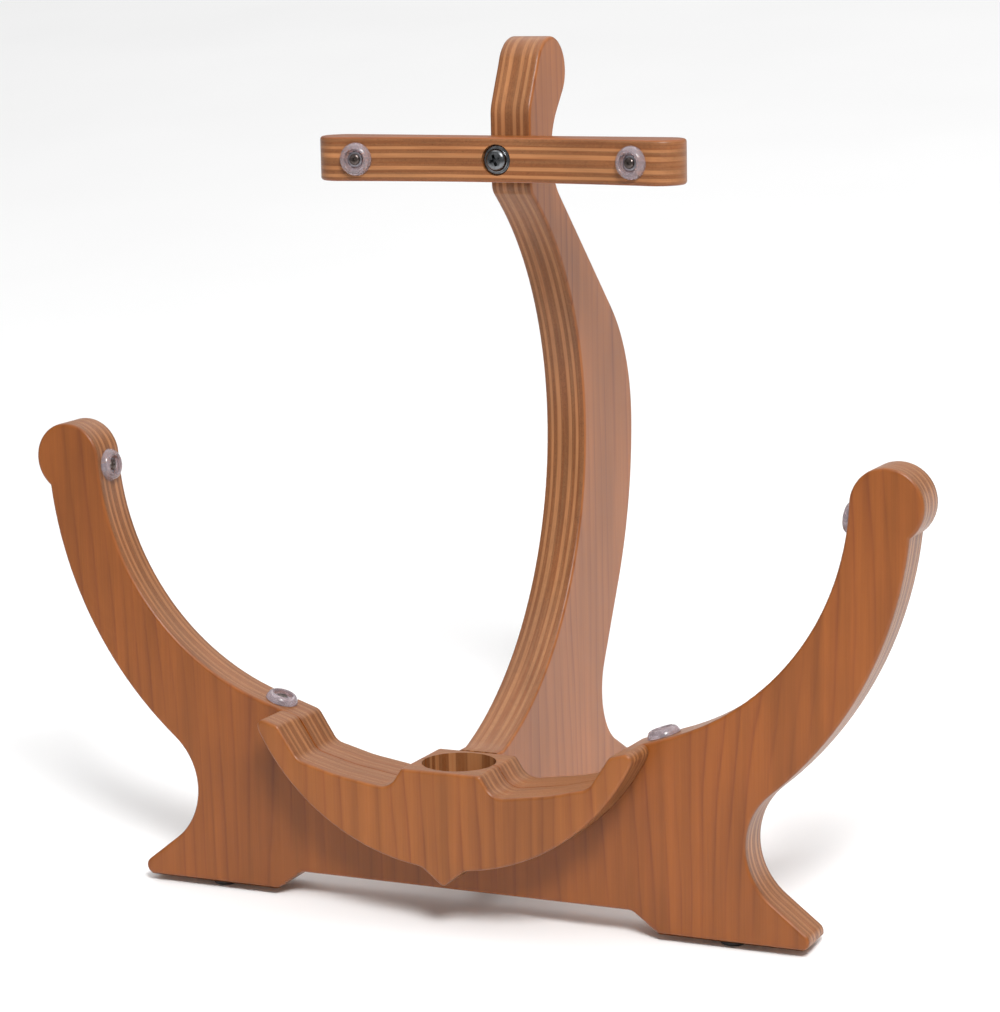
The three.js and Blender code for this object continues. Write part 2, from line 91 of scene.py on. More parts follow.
def srgb(red: int, green: int, blue: int) -> Colour:
    """Turns a colour of 0 to 255 per channel into the linear values that shaders take.

    Args:
        red: Red, 0 to 255.
        green: Green, 0 to 255.
        blue: Blue, 0 to 255.

    Returns:
        The linear red, green and blue.
    """
    return linear_share(red), linear_share(green), linear_share(blue)


# ---- The leaning boards' own axes ---------------------------------------------------------------


class Leaning:
    """The stand's boards lean back together. This holds the turn between them and the frame's axes.

    In board axes x runs along the cradle, y through it from its front face, and z up the board.
    """

    PIVOT = Vector((0.0, 63.3 * MM, 317.0 * MM))

    def __init__(self, joint: dict) -> None:
        """Works the lean out of the crossbar's hinge, whose axis runs along the boards' y.

        Args:
            joint: The hinge's row in the record.
        """
        self.lean = math.atan2(-joint["axis"][2], joint["axis"][1])
        turn = Matrix.Rotation(-self.lean, 4, "X")
        origin = Vector(joint["pos_m"]) - turn @ self.PIVOT
        self.to_frame = Matrix.Translation(origin) @ turn
        self.to_board = self.to_frame.inverted()


LEANING = Leaning(frame["joints"][0])


class Lay(Enum):
    """How a board lies: which board axes its width, depth and grain follow, as rows of a turn."""

    ACROSS = ((1, 0, 0), (0, 1, 0), (0, 0, 1))
    FORE_AND_AFT = ((0, 1, 0), (-1, 0, 0), (0, 0, 1))
    LEVEL = ((0, 1, 0), (0, 0, 1), (1, 0, 0))


# ---- Node helpers ---------------------------------------------------------------------------------


class Graph:
    """Short names for adding and joining the nodes of one tree."""

    def __init__(self, tree: bpy.types.NodeTree) -> None:
        """Keeps the tree that every later call adds to."""
        self.tree = tree

    def node(self, kind: str, **settings: object) -> bpy.types.Node:
        """Adds one node.

        Args:
            kind: The node's class name.
            **settings: Attributes to set on it.

        Returns:
            The new node.
        """
        made = self.tree.nodes.new(kind)
        for name, value in settings.items():
            setattr(made, name, value)
        return made

    def feed(self, socket: Socket, value: SocketOrValue) -> None:
        """Joins an output to a socket, or sets the socket to a plain value.

        Args:
            socket: The input that is fed.
            value: The output or the plain value that it takes.
        """
        if isinstance(value, bpy.types.NodeSocket):
            self.tree.links.new(value, socket)
        else:
            socket.default_value = value

    def math(self, operation: str, *values: SocketOrValue, clamp: bool = False) -> Socket:
        """One step of arithmetic.

        Args:
            operation: The Math node's operation.
            *values: Its inputs in order.
            clamp: Whether the result is held between 0 and 1.

        Returns:
            The result's socket.
        """
        step = self.node("ShaderNodeMath", operation=operation, use_clamp=clamp)
        for socket, value in zip(step.inputs, values):
            self.feed(socket, value)
        return step.outputs[0]

    def vector(self, operation: str, *values: SocketOrValue) -> Socket:
        """One step of vector arithmetic.

        Args:
            operation: The Vector Math node's operation.
            *values: Its inputs in order.

        Returns:
            The result's socket.
        """
        step = self.node("ShaderNodeVectorMath", operation=operation)
        for socket, value in zip(step.inputs, values):
            self.feed(socket, value)
        return step.outputs["Vector"]

    def scale(self, vector: Socket, factor: Socket) -> Socket:
        """Multiplies a colour or vector by a factor.

        Args:
            vector: The colour or vector.
            factor: What it is multiplied by.

        Returns:
            The product's socket.
        """
        step = self.node("ShaderNodeVectorMath", operation="SCALE")
        self.feed(step.inputs["Vector"], vector)
        self.feed(step.inputs["Scale"], factor)
        return step.outputs["Vector"]

    def mix(self, factor: SocketOrValue, a: SocketOrValue, b: SocketOrValue, blend: str = "MIX") -> Socket:
        """Blends two colours.

        Args:
            factor: How much of b is taken.
            a: First colour.
            b: Second colour.
            blend: The blend mode.

        Returns:
            The blended colour's socket.
        """
        step = self.node("ShaderNodeMix", data_type="RGBA", blend_type=blend)
        for index, value in ((0, factor), (6, a), (7, b)):
            self.feed(step.inputs[index], value)
        return step.outputs[2]

    def noise(
        self,
        vector: Socket,
        per_metre: Triple = (1.0, 1.0, 1.0),
        detail: float = 2.0,
        roughness: float = 0.5,
    ) -> Socket:
        """Noise between 0 and 1.

        Args:
            vector: Where it is read.
            per_metre: Features per unit of the vector, along each axis.
            detail: How many finer layers are added.
            roughness: How much the finer layers count.

        Returns:
            The noise's socket.
        """
        made = self.node("ShaderNodeTexNoise")
        self.feed(made.inputs["Vector"], self.vector("MULTIPLY", vector, per_metre))
        made.inputs["Scale"].default_value = 1.0
        made.inputs["Detail"].default_value = detail
        made.inputs["Roughness"].default_value = roughness
        return made.outputs["Fac"]

    def ramp(
        self,
        factor: Socket,
        stops: Sequence[tuple[float, float]],
        interpolation: str = "LINEAR",
    ) -> Socket:
        """A curve through grey stops.

        Args:
            factor: What the curve is read at, 0 to 1.
            stops: Pairs of place and brightness, in order.
            interpolation: How the ramp runs between its stops.

        Returns:
            The brightness at the factor.
        """
        made = self.node("ShaderNodeValToRGB")
        ramp = made.color_ramp
        ramp.interpolation = interpolation
        while len(ramp.elements) < len(stops):
            ramp.elements.new(1.0)
        for element, (place, brightness) in zip(ramp.elements, stops):
            element.position = place
            element.color = (brightness, brightness, brightness, 1.0)
        self.feed(made.inputs["Fac"], factor)
        return made.outputs["Color"]

    def stretch(self, noise: Socket, gain: float) -> Socket:
        """Spreads noise out from its middle so that it fills 0 to 1."""
        return self.math("MULTIPLY_ADD", noise, gain, 0.5 - 0.5 * gain, clamp=True)

    def around_one(self, noise: Socket, swing: float) -> Socket:
        """Turns noise about 0.5 into a factor about 1 that swings by that much in all."""
        return self.math("MULTIPLY_ADD", noise, swing, 1.0 - swing / 2)

    def parts(self, vector: Socket) -> bpy.types.NodeOutputs:
        """Splits a vector into outputs named X, Y and Z.

        Args:
            vector: The vector.

        Returns:
            The three outputs.
        """
        made = self.node("ShaderNodeSeparateXYZ")
        self.feed(made.inputs[0], vector)
        return made.outputs


GroupSockets = Sequence[tuple[str, str]]


def new_group(name: str, takes: GroupSockets, gives: GroupSockets) -> tuple[bpy.types.NodeTree, Graph]:
    """Starts a shader node group with named sockets.

    Args:
        name: The group's name.
        takes: Name and socket type of each input.
        gives: Name and socket type of each output.

    Returns:
        The group and a graph that adds to it.
    """
    tree = bpy.data.node_groups.new(name, "ShaderNodeTree")
    for label, kind in takes:
        tree.interface.new_socket(label, in_out="INPUT", socket_type=kind)
    for label, kind in gives:
        tree.interface.new_socket(label, in_out="OUTPUT", socket_type=kind)
    return tree, Graph(tree)


# ---- Shared effects -------------------------------------------------------------------------------


class PlyStack:
    """The layers of the plywood through its thickness, as a node group.

    The two face veneers are thin. Between them, plies with their grain across and along take turns.
    """

    VENEER = 0.6 * MM
    CORE_PLIES = tuple(t * MM for t in (2.6, 1.5, 1.7, 1.8, 3.4, 2.1, 1.6, 1.4, 1.75))
    GLUE_HALF = 0.13 * MM
    BLEND_HALF = 0.3 * MM

    def boundaries(self) -> list[float]:
        """Finds where one layer ends and the next begins.

        Returns:
            The boundaries' depths as shares of the board's thickness.
        """
        depths = [self.VENEER]
        for ply in self.CORE_PLIES:
            depths.append(depths[-1] + ply)
        return [depth / BOARD for depth in depths]

    def soft_turns(self, edges: Sequence[float]) -> list[tuple[float, float]]:
        """Swaps cross plies for long ones at every inner boundary, over a short way.

        Args:
            edges: Depths of the layers' boundaries.

        Returns:
            The ramp's stops.
        """
        half = self.BLEND_HALF / BOARD
        stops = [(0.0, 1.0)]
        for i, edge in enumerate(edges[1:-1]):
            before = float(i % 2 == 0)
            stops += [(edge - half, before), (edge + half, 1.0 - before)]
        return stops

    def build(self) -> bpy.types.NodeTree:
        """Makes the group.

        Returns:
            A group that turns a share of the depth into masks for cross plies, face veneers and glue.
        """
        tree, graph = new_group(
            "ply_stack",
            [("Depth", "NodeSocketFloat"), ("Shift", "NodeSocketFloat")],
            [("Cross", "NodeSocketFloat"), ("Veneer", "NodeSocketFloat"), ("Glue", "NodeSocketFloat")],
        )
        given = graph.node("NodeGroupInput")
        depth = given.outputs["Depth"]
        core = graph.math("SUBTRACT", depth, given.outputs["Shift"])
        out = graph.node("NodeGroupOutput")
        edges = self.boundaries()
        cross = graph.ramp(core, self.soft_turns(edges), "EASE")
        veneer = graph.ramp(depth, [(0.0, 1.0), (edges[0], 0.0), (edges[-1], 1.0)], "CONSTANT")
        half = self.GLUE_HALF / BOARD
        lines = [stop for edge in edges for stop in ((edge - half, 0.0), (edge, 1.0), (edge + half, 0.0))]
        glue = graph.ramp(core, lines)
        for name, value in (("Cross", cross), ("Veneer", veneer), ("Glue", glue)):
            graph.feed(out.inputs[name], value)
        return tree


class FaceFigure:
    """The figure of a flat-sliced cherry veneer: growth lines, streaks, fibre and gum flecks."""

    LINE_SPACING = 7.5 * MM
    RING_SHADE = ((0.0, 0.3), (0.1, 0.0), (0.45, 0.08), (0.8, 0.45), (0.93, 1.0), (1.0, 0.3))

    # Features per metre across the face, through it and along the grain.
    WANDER = (13.0, 13.0, 2.4)
    WAVER = (55.0, 55.0, 7.0)
    LINE_STRENGTH = (60.0, 60.0, 9.0)
    BROAD = (24.0, 24.0, 11.0)
    STREAK = (170.0, 170.0, 7.0)
    FINE = (620.0, 620.0, 12.0)
    FIBRE = (1500.0, 1500.0, 26.0)
    FLECKS = (42.0, 42.0, 13.0)

    FLECK_RADIUS = 0.035
    EMPTY_CELLS = 0.62

    def build(self) -> bpy.types.NodeTree:
        """Makes the group.

        Returns:
            A group that turns board coordinates into masks for growth lines, tone, fibre and flecks.
        """
        tree, graph = new_group(
            "face_figure",
            [("Vector", "NodeSocketVector")],
            [
                ("Lines", "NodeSocketFloat"),
                ("Tone", "NodeSocketFloat"),
                ("Fibre", "NodeSocketFloat"),
                ("Flecks", "NodeSocketFloat"),
            ],
        )
        vector = graph.node("NodeGroupInput").outputs["Vector"]
        out = graph.node("NodeGroupOutput")
        graph.feed(out.inputs["Lines"], self.growth_lines(graph, vector))
        graph.feed(out.inputs["Tone"], self.tone(graph, vector))
        graph.feed(out.inputs["Fibre"], graph.noise(vector, self.FIBRE))
        graph.feed(out.inputs["Flecks"], self.flecks(graph, vector))
        return tree

    def growth_lines(self, graph: Graph, vector: Socket) -> Socket:
        """Draws uneven dark lines along the grain that end sharply on one side.

        Args:
            graph: The group's graph.
            vector: The board's coordinates.

        Returns:
            A mask that is 1 on the lines.
        """
        wander = graph.noise(vector, self.WANDER, detail=1.0)
        waver = graph.noise(vector, self.WAVER)
        rings = graph.math("MULTIPLY_ADD", wander, 7.5, graph.math("MULTIPLY", waver, 1.3))
        place = graph.math("MULTIPLY_ADD", graph.parts(vector)["X"], 1 / self.LINE_SPACING, rings)
        line = graph.ramp(graph.math("FRACT", place), self.RING_SHADE)
        strength = graph.ramp(graph.noise(vector, self.LINE_STRENGTH), ((0.34, 0.12), (0.62, 1.0)))
        return graph.math("MULTIPLY", line, strength)

    def tone(self, graph: Graph, vector: Socket) -> Socket:
        """Changes the tone along the grain, broadly and in narrow streaks.

        Args:
            graph: The group's graph.
            vector: The board's coordinates.

        Returns:
            A factor about 1.
        """
        broad = graph.stretch(graph.noise(vector, self.BROAD, detail=3.0), 1.8)
        streak = graph.stretch(graph.noise(vector, self.STREAK, detail=3.0), 1.8)
        fine = graph.stretch(graph.noise(vector, self.FINE), 1.5)
        tone = graph.math("MULTIPLY", graph.around_one(broad, 0.38), graph.around_one(streak, 0.34))
        return graph.math("MULTIPLY", tone, graph.around_one(fine, 0.10))

    def flecks(self, graph: Graph, vector: Socket) -> Socket:
        """Scatters a few small gum flecks, stretched along the grain.

        Args:
            graph: The group's graph.
            vector: The board's coordinates.

        Returns:
            A mask that is 1 on the flecks.
        """
        cells = graph.node("ShaderNodeTexVoronoi")
        graph.feed(cells.inputs["Vector"], graph.vector("MULTIPLY", vector, self.FLECKS))
        cells.inputs["Scale"].default_value = 1.0
        near = graph.math("LESS_THAN", cells.outputs["Distance"], self.FLECK_RADIUS)
        chosen = graph.node("ShaderNodeSeparateColor")
        graph.feed(chosen.inputs[0], cells.outputs["Color"])
        return graph.math("MULTIPLY", near, graph.math("GREATER_THAN", chosen.outputs[0], self.EMPTY_CELLS))


class EdgeFigure:
    """What a saw shows of the inner plies: lamellae, streaks along the grain and open end grain."""

    # Features per metre across the face, through the board and along the face's grain.
    LAMELLAE = (24.0, 1100.0, 24.0)
    STREAKS_ALONG = (500.0, 700.0, 16.0)
    STREAKS_ACROSS = (16.0, 700.0, 500.0)
    PATCHES = (26.0, 170.0, 26.0)
    PORES = (2600.0, 2600.0, 2600.0)

    def build(self) -> bpy.types.NodeTree:
        """Makes the group.

        Returns:
            A group that turns board coordinates and the face's direction into tone, streaks of early
            and late wood, end grain and pores.
        """
        tree, graph = new_group(
            "edge_figure",
            [
                ("Vector", "NodeSocketVector"),
                ("Normal", "NodeSocketVector"),
                ("Cross", "NodeSocketFloat"),
            ],
            [
                ("Tone", "NodeSocketFloat"),
                ("Streak", "NodeSocketFloat"),
                ("End Grain", "NodeSocketFloat"),
                ("Pores", "NodeSocketFloat"),
            ],
        )
        given = graph.node("NodeGroupInput")
        out = graph.node("NodeGroupOutput")
        vector, cross = given.outputs["Vector"], given.outputs["Cross"]
        along = graph.vector("MULTIPLY", vector, self.STREAKS_ALONG)
        across = graph.vector("MULTIPLY", vector, self.STREAKS_ACROSS)
        grain = self.mix_vectors(graph, cross, along, across)
        lamellae = graph.stretch(graph.noise(vector, self.LAMELLAE), 2.2)
        streaks = graph.stretch(graph.noise(grain, detail=3.0, roughness=0.6), 1.7)
        patches = graph.stretch(graph.noise(vector, self.PATCHES), 1.8)
        tone = graph.math("MULTIPLY", graph.around_one(lamellae, 0.34), graph.around_one(streaks, 0.30))
        tone = graph.math("MULTIPLY", tone, graph.around_one(patches, 0.34))
        direction = graph.parts(given.outputs["Normal"])
        up = graph.math("ABSOLUTE", direction["Z"])
        side = graph.math("ABSOLUTE", direction["X"])
        swapped = graph.math("MULTIPLY", graph.math("SUBTRACT", side, up), cross)
        end_grain = graph.math("ADD", up, swapped)
        open_pores = graph.ramp(graph.noise(vector, self.PORES, detail=1.0), ((0.58, 0.0), (0.68, 1.0)))
        pores = graph.math("MULTIPLY", open_pores, end_grain)
        outputs = (("Tone", tone), ("Streak", lamellae), ("End Grain", end_grain), ("Pores", pores))
        for name, value in outputs:
            graph.feed(out.inputs[name], value)
        return tree

    def mix_vectors(self, graph: Graph, factor: Socket, a: Socket, b: Socket) -> Socket:
        """Blends two vectors.

        Args:
            graph: The group's graph.
            factor: How much of b is taken.
            a: First vector.
            b: Second vector.

        Returns:
            The blended vector's socket.
        """
        step = graph.node("ShaderNodeMix", data_type="VECTOR")
        graph.feed(step.inputs[0], factor)
        graph.feed(step.inputs[4], a)
        graph.feed(step.inputs[5], b)
        return step.outputs[1]


@dataclass(frozen=True)
class Effects:
    """The node groups that several materials share."""

    plies: bpy.types.NodeTree
    face: bpy.types.NodeTree
    edge: bpy.types.NodeTree

    @classmethod
    def build(cls) -> Effects:
        """Makes every shared group once."""
        return cls(PlyStack().build(), FaceFigure().build(), EdgeFigure().build())


# ---- Finishes -------------------------------------------------------------------------------------


def new_material(name: str) -> tuple[bpy.types.Material, Graph, bpy.types.Node]:
    """Starts a material.

    Args:
        name: The material's name.

    Returns:
        The material, a graph that adds to it, and its shader.
    """
    material = bpy.data.materials.new(name)
    material.use_nodes = True
    graph = Graph(material.node_tree)
    return material, graph, material.node_tree.nodes["Principled BSDF"]


def add_bump(graph: Graph, shader: bpy.types.Node, height: Socket, depth: float, strength: float) -> None:
    """Lets a height mask tilt the shader's surface.

    Args:
        graph: The material's graph.
        shader: The material's shader.
        height: The mask.
        depth: How deep the mask's full range is, in metres.
        strength: Share of the tilt that is used.
    """
    bump = graph.node("ShaderNodeBump")
    bump.inputs["Strength"].default_value = strength
    bump.inputs["Distance"].default_value = depth
    graph.feed(bump.inputs["Height"], height)
    graph.feed(shader.inputs["Normal"], bump.outputs["Normal"])


@dataclass(frozen=True)
class LaminatedCherry:
    """Satin-lacquered plywood with cherry faces.

    Attributes:
        name: The material's name.
        lay: How the board lies.
        centre: A point in the board's middle layer, in board axes.
        seed: Moves the figure so that no two boards match.
        face: Colour of the face veneer.
        line: Colour of its growth lines.
        along: Colour of plies sawn along their grain.
        across: Colour of plies sawn across.
        glue: Colour of the glue lines.
        gum: Colour of gum flecks.
        shift: How far the inner plies lie off the middle.
    """

    name: str
    lay: Lay
    centre: Vector
    seed: float
    face: Colour = srgb(141, 78, 30)
    line: Colour = srgb(116, 58, 26)
    along: Colour = srgb(174, 119, 76)
    across: Colour = srgb(134, 80, 43)
    glue: Colour = srgb(100, 54, 24)
    gum: Colour = srgb(88, 42, 24)
    shift: float = 0.0

    WOBBLE: ClassVar[float] = 0.9 * MM
    WOBBLES_PER_METRE: ClassVar[Triple] = (14.0, 30.0, 14.0)
    SEED_STEP: ClassVar[Triple] = (0.37, 0.0, 0.53)
    LINE_SHARE: ClassVar[float] = 0.72
    GLUE_SHARE: ClassVar[float] = 0.55
    RELIEF: ClassVar[float] = 0.06 * MM

    def board_axes(self) -> Matrix:
        """Finds the board's own axes: its width, its depth from the face, and its grain.

        Returns:
            The turn and move from the frame's axes to them.
        """
        turn = Matrix(self.lay.value).to_4x4()
        middle = Matrix.Translation(Vector((0.0, BOARD / 2, 0.0)) - turn @ self.centre)
        return middle @ turn @ LEANING.to_board

    def mapped(self, graph: Graph, source: Socket, kind: str) -> Socket:
        """Puts a coordinate or a direction into the board's own axes.

        Args:
            graph: The material's graph.
            source: The coordinate or direction.
            kind: POINT or VECTOR.

        Returns:
            The turned socket.
        """
        axes = self.board_axes()
        mapping = graph.node("ShaderNodeMapping", vector_type=kind)
        mapping.inputs["Rotation"].default_value = axes.to_euler("XYZ")
        if kind == "POINT":
            mapping.inputs["Location"].default_value = axes.to_translation()
        graph.feed(mapping.inputs["Vector"], source)
        return mapping.outputs["Vector"]

    def build(self, effects: Effects) -> bpy.types.Material:
        """Makes the material.

        Args:
            effects: The shared node groups.

        Returns:
            The material.
        """
        material, graph, shader = new_material(self.name)
        source = graph.node("ShaderNodeTexCoord")
        place = self.mapped(graph, source.outputs["Object"], "POINT")
        direction = self.mapped(graph, source.outputs["Normal"], "VECTOR")
        seeded = graph.vector("ADD", place, tuple(self.seed * step for step in self.SEED_STEP))

        plies = graph.node("ShaderNodeGroup", node_tree=effects.plies)
        wobble = graph.noise(seeded, self.WOBBLES_PER_METRE)
        depth = graph.math("MULTIPLY_ADD", wobble, self.WOBBLE, -self.WOBBLE / 2)
        depth = graph.math("ADD", graph.parts(place)["Y"], depth)
        graph.feed(plies.inputs["Depth"], graph.math("MULTIPLY", depth, 1 / BOARD))
        plies.inputs["Shift"].default_value = self.shift / BOARD
        face = graph.node("ShaderNodeGroup", node_tree=effects.face)
        graph.feed(face.inputs["Vector"], seeded)
        edge = graph.node("ShaderNodeGroup", node_tree=effects.edge)
        graph.feed(edge.inputs["Vector"], seeded)
        graph.feed(edge.inputs["Normal"], direction)
        graph.feed(edge.inputs["Cross"], plies.outputs["Cross"])

        veneer = plies.outputs["Veneer"]
        sawn = self.sawn_colour(graph, plies, edge)
        sliced = self.face_colour(graph, face)
        graph.feed(shader.inputs["Base Color"], graph.mix(veneer, sawn, sliced))

        fibre, pores = face.outputs["Fibre"], edge.outputs["Pores"]
        rough = graph.math("MULTIPLY_ADD", fibre, 0.10, 0.36)
        rough = graph.math("MULTIPLY_ADD", pores, 0.15, rough)
        graph.feed(shader.inputs["Roughness"], rough)
        shader.inputs["Specular IOR Level"].default_value = 0.32
        shader.inputs["Coat Weight"].default_value = 0.2
        shader.inputs["Coat Roughness"].default_value = 0.25
        relief = graph.math("MULTIPLY_ADD", pores, -0.6, fibre)
        relief = graph.math("MULTIPLY_ADD", plies.outputs["Glue"], -0.8, relief)
        relief = graph.math("MULTIPLY_ADD", edge.outputs["Tone"], 0.7, relief)
        add_bump(graph, shader, relief, depth=self.RELIEF, strength=0.5)
        return material

    def face_colour(self, graph: Graph, face: bpy.types.Node) -> Socket:
        """Colours the sliced face veneer.

        Args:
            graph: The material's graph.
            face: The face figure's group node.

        Returns:
            The colour.
        """
        lines = graph.math("MULTIPLY", face.outputs["Lines"], self.LINE_SHARE)
        lined = graph.mix(lines, (*self.face, 1), (*self.line, 1))
        fibre = graph.around_one(face.outputs["Fibre"], 0.22)
        toned = graph.scale(lined, graph.math("MULTIPLY", face.outputs["Tone"], fibre))
        return graph.mix(face.outputs["Flecks"], toned, (*self.gum, 1))

    def sawn_colour(self, graph: Graph, plies: bpy.types.Node, edge: bpy.types.Node) -> Socket:
        """Colours the sawn inner plies.

        Args:
            graph: The material's graph.
            plies: The ply stack's group node.
            edge: The edge figure's group node.

        Returns:
            The colour.
        """
        streak = graph.math("MULTIPLY_ADD", edge.outputs["Streak"], 0.9, -0.38)
        dark = graph.math("MULTIPLY_ADD", plies.outputs["Cross"], 0.62, 0.12)
        dark = graph.math("ADD", dark, streak, clamp=True)
        base = graph.mix(dark, (*self.along, 1), (*self.across, 1))
        shade = graph.math("MULTIPLY_ADD", edge.outputs["End Grain"], -0.2, 1.0)
        shade = graph.math("MULTIPLY", shade, edge.outputs["Tone"])
        open_grain = graph.math("MULTIPLY_ADD", edge.outputs["Pores"], -0.35, 1.0)
        toned = graph.scale(base, graph.math("MULTIPLY", shade, open_grain))
        glued = graph.math("MULTIPLY", plies.outputs["Glue"], self.GLUE_SHARE)
        return graph.mix(glued, toned, (*self.glue, 1))


@dataclass(frozen=True)
class ClearVinyl:
    """Soft clear vinyl, a little milky, that lets the wood behind it through."""

    name: str = "clear_vinyl"
    tint: Colour = srgb(214, 198, 204)

    CLOUDS: ClassVar[Triple] = (450.0, 450.0, 450.0)
    SCUFFS: ClassVar[Triple] = (2200.0, 2200.0, 900.0)

    def build(self) -> bpy.types.Material:
        """Makes the material.

        Returns:
            The material.
        """
        material, graph, shader = new_material(self.name)
        source = graph.node("ShaderNodeTexCoord").outputs["Object"]
        cloud = graph.noise(source, self.CLOUDS, detail=3.0)
        milky = graph.ramp(cloud, [(0.3, 0.95), (0.75, 1.0)])
        graph.feed(shader.inputs["Base Color"], graph.mix(1.0, (*self.tint, 1), milky, "MULTIPLY"))
        scuffs = graph.noise(source, self.SCUFFS, detail=4.0)
        graph.feed(shader.inputs["Roughness"], graph.math("MULTIPLY_ADD", scuffs, 0.10, 0.14))
        shader.inputs["Transmission Weight"].default_value = 0.72
        shader.inputs["IOR"].default_value = 1.46
        add_bump(graph, shader, scuffs, depth=0.01 * MM, strength=0.15)
        return material


@dataclass(frozen=True)
class Metal:
    """A plated or oiled metal with fine scratches and smudges.

    Attributes:
        name: The material's name.
        colour: The clean metal's colour.
        dull: The colour where it is smudged.
        roughness: Least roughness.
    """

    name: str
    colour: Colour
    dull: Colour
    roughness: float

    SMUDGES: ClassVar[Triple] = (520.0, 520.0, 520.0)
    SCRATCHES: ClassVar[Triple] = (9000.0, 900.0, 5000.0)

    def build(self) -> bpy.types.Material:
        """Makes the material.

        Returns:
            The material.
        """
        material, graph, shader = new_material(self.name)
        source = graph.node("ShaderNodeTexCoord").outputs["Object"]
        smudge = graph.noise(source, self.SMUDGES, detail=4.0)
        smudged = graph.ramp(smudge, [(0.38, 0.0), (0.72, 1.0)])
        graph.feed(shader.inputs["Base Color"], graph.mix(smudged, (*self.colour, 1), (*self.dull, 1)))
        scratch = graph.noise(source, self.SCRATCHES)
        rough = graph.math("MULTIPLY_ADD", smudged, 0.18, self.roughness)
        graph.feed(shader.inputs["Roughness"], graph.math("MULTIPLY_ADD", scratch, 0.08, rough))
        shader.inputs["Metallic"].default_value = 1.0
        add_bump(graph, shader, scratch, depth=0.01 * MM, strength=0.3)
        return material


@dataclass(frozen=True)
class FootRubber:
    """Matt dark rubber with dust in its skin."""

    name: str = "foot_rubber"
    colour: Colour = srgb(38, 34, 33)
    dust: Colour = srgb(92, 84, 78)

    SKIN: ClassVar[Triple] = (2500.0, 2500.0, 2500.0)
    CLOUDS: ClassVar[Triple] = (300.0, 300.0, 300.0)

    def build(self) -> bpy.types.Material:
        """Makes the material.

        Returns:
            The material.
        """
        material, graph, shader = new_material(self.name)
        source = graph.node("ShaderNodeTexCoord").outputs["Object"]
        skin = graph.noise(source, self.SKIN, detail=5.0, roughness=0.7)
        cloud = graph.noise(source, self.CLOUDS, detail=3.0)
        dusty = graph.math("MULTIPLY", graph.ramp(cloud, [(0.45, 0.0), (0.8, 1.0)]), skin)
        graph.feed(shader.inputs["Base Color"], graph.mix(dusty, (*self.colour, 1), (*self.dust, 1)))
        graph.feed(shader.inputs["Roughness"], graph.math("MULTIPLY_ADD", skin, 0.25, 0.62))
        add_bump(graph, shader, skin, depth=0.05 * MM, strength=0.5)
        return material


@dataclass(frozen=True)
class BareBeech:
    """Unfinished beech with short ray flecks along the dowel."""

    name: str = "bare_beech"
    colour: Colour = srgb(206, 168, 120)
    ray: Colour = srgb(160, 116, 74)

    RAYS: ClassVar[Triple] = (1800.0, 260.0, 1800.0)

    def build(self) -> bpy.types.Material:
        """Makes the material.

        Returns:
            The material.
        """
        material, graph, shader = new_material(self.name)
        source = graph.node("ShaderNodeTexCoord").outputs["Object"]
        rays = graph.noise(source, self.RAYS, detail=3.0)
        flecks = graph.ramp(rays, [(0.5, 0.0), (0.66, 1.0)])
        graph.feed(shader.inputs["Base Color"], graph.mix(flecks, (*self.colour, 1), (*self.ray, 1)))
        graph.feed(shader.inputs["Roughness"], graph.math("MULTIPLY_ADD", rays, 0.2, 0.6))
        add_bump(graph, shader, rays, depth=0.05 * MM, strength=0.4)
        return material


@dataclass(frozen=True)
class Hardware:
    """The finishes of everything that isn't a board."""

    vinyl: bpy.types.Material
    zinc: bpy.types.Material
    black: bpy.types.Material
    gunmetal: bpy.types.Material
    brass: bpy.types.Material
    rubber: bpy.types.Material
    beech: bpy.types.Material

    @classmethod
    def build(cls) -> Hardware:
        """Makes every hardware finish once.

        Returns:
            The finishes.
        """
        return cls(
            vinyl=ClearVinyl().build(),
            zinc=Metal("zinc_steel", srgb(168, 166, 172), srgb(120, 114, 118), 0.28).build(),
            black=Metal("black_steel", srgb(112, 102, 98), srgb(74, 64, 60), 0.2).build(),
            gunmetal=Metal("gunmetal", srgb(122, 124, 127), srgb(82, 84, 86), 0.14).build(),
            brass=Metal("brass", srgb(196, 158, 88), srgb(140, 104, 52), 0.25).build(),
            rubber=FootRubber().build(),
            beech=BareBeech().build(),
        )


# ---- Mesh helpers ---------------------------------------------------------------------------------


def linked(bm: bmesh.types.BMesh, name: str, material: bpy.types.Material | None = None) -> bpy.types.Object:
    """Puts a shape into the scene.

    Args:
        bm: The shape. It is freed.
        name: Name of the object and its mesh.
        material: Its finish, if it has one.

    Returns:
        The object.
    """
    mesh = bpy.data.meshes.new(name)
    bm.to_mesh(mesh)
    bm.free()
    if material:
        mesh.materials.append(material)
    made = bpy.data.objects.new(name, mesh)
    bpy.context.scene.collection.objects.link(made)
    return made


def finish_piece(
    bm: bmesh.types.BMesh,
    name: str,
    body: str,
    material: bpy.types.Material,
    nodes: Sequence[str],
) -> bpy.types.Object:
    """Turns a finished bmesh into a piece of the stand.

    Args:
        bm: The shape, in the frame's axes. It is freed.
        name: The piece's name.
        body: The body that it rides on.
        material: Its finish.
        nodes: The frame nodes that it stands for.

    Returns:
        The piece.
    """
    piece = linked(bm, name, material)
    shading = piece.modifiers.new("even_shading", "WEIGHTED_NORMAL")
    shading.mode = "FACE_AREA"
    shading.keep_sharp = True
    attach(piece, body)
    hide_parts(*nodes)
    log.info("%s: %d faces on %s", name, len(piece.data.polygons), body)
    return piece


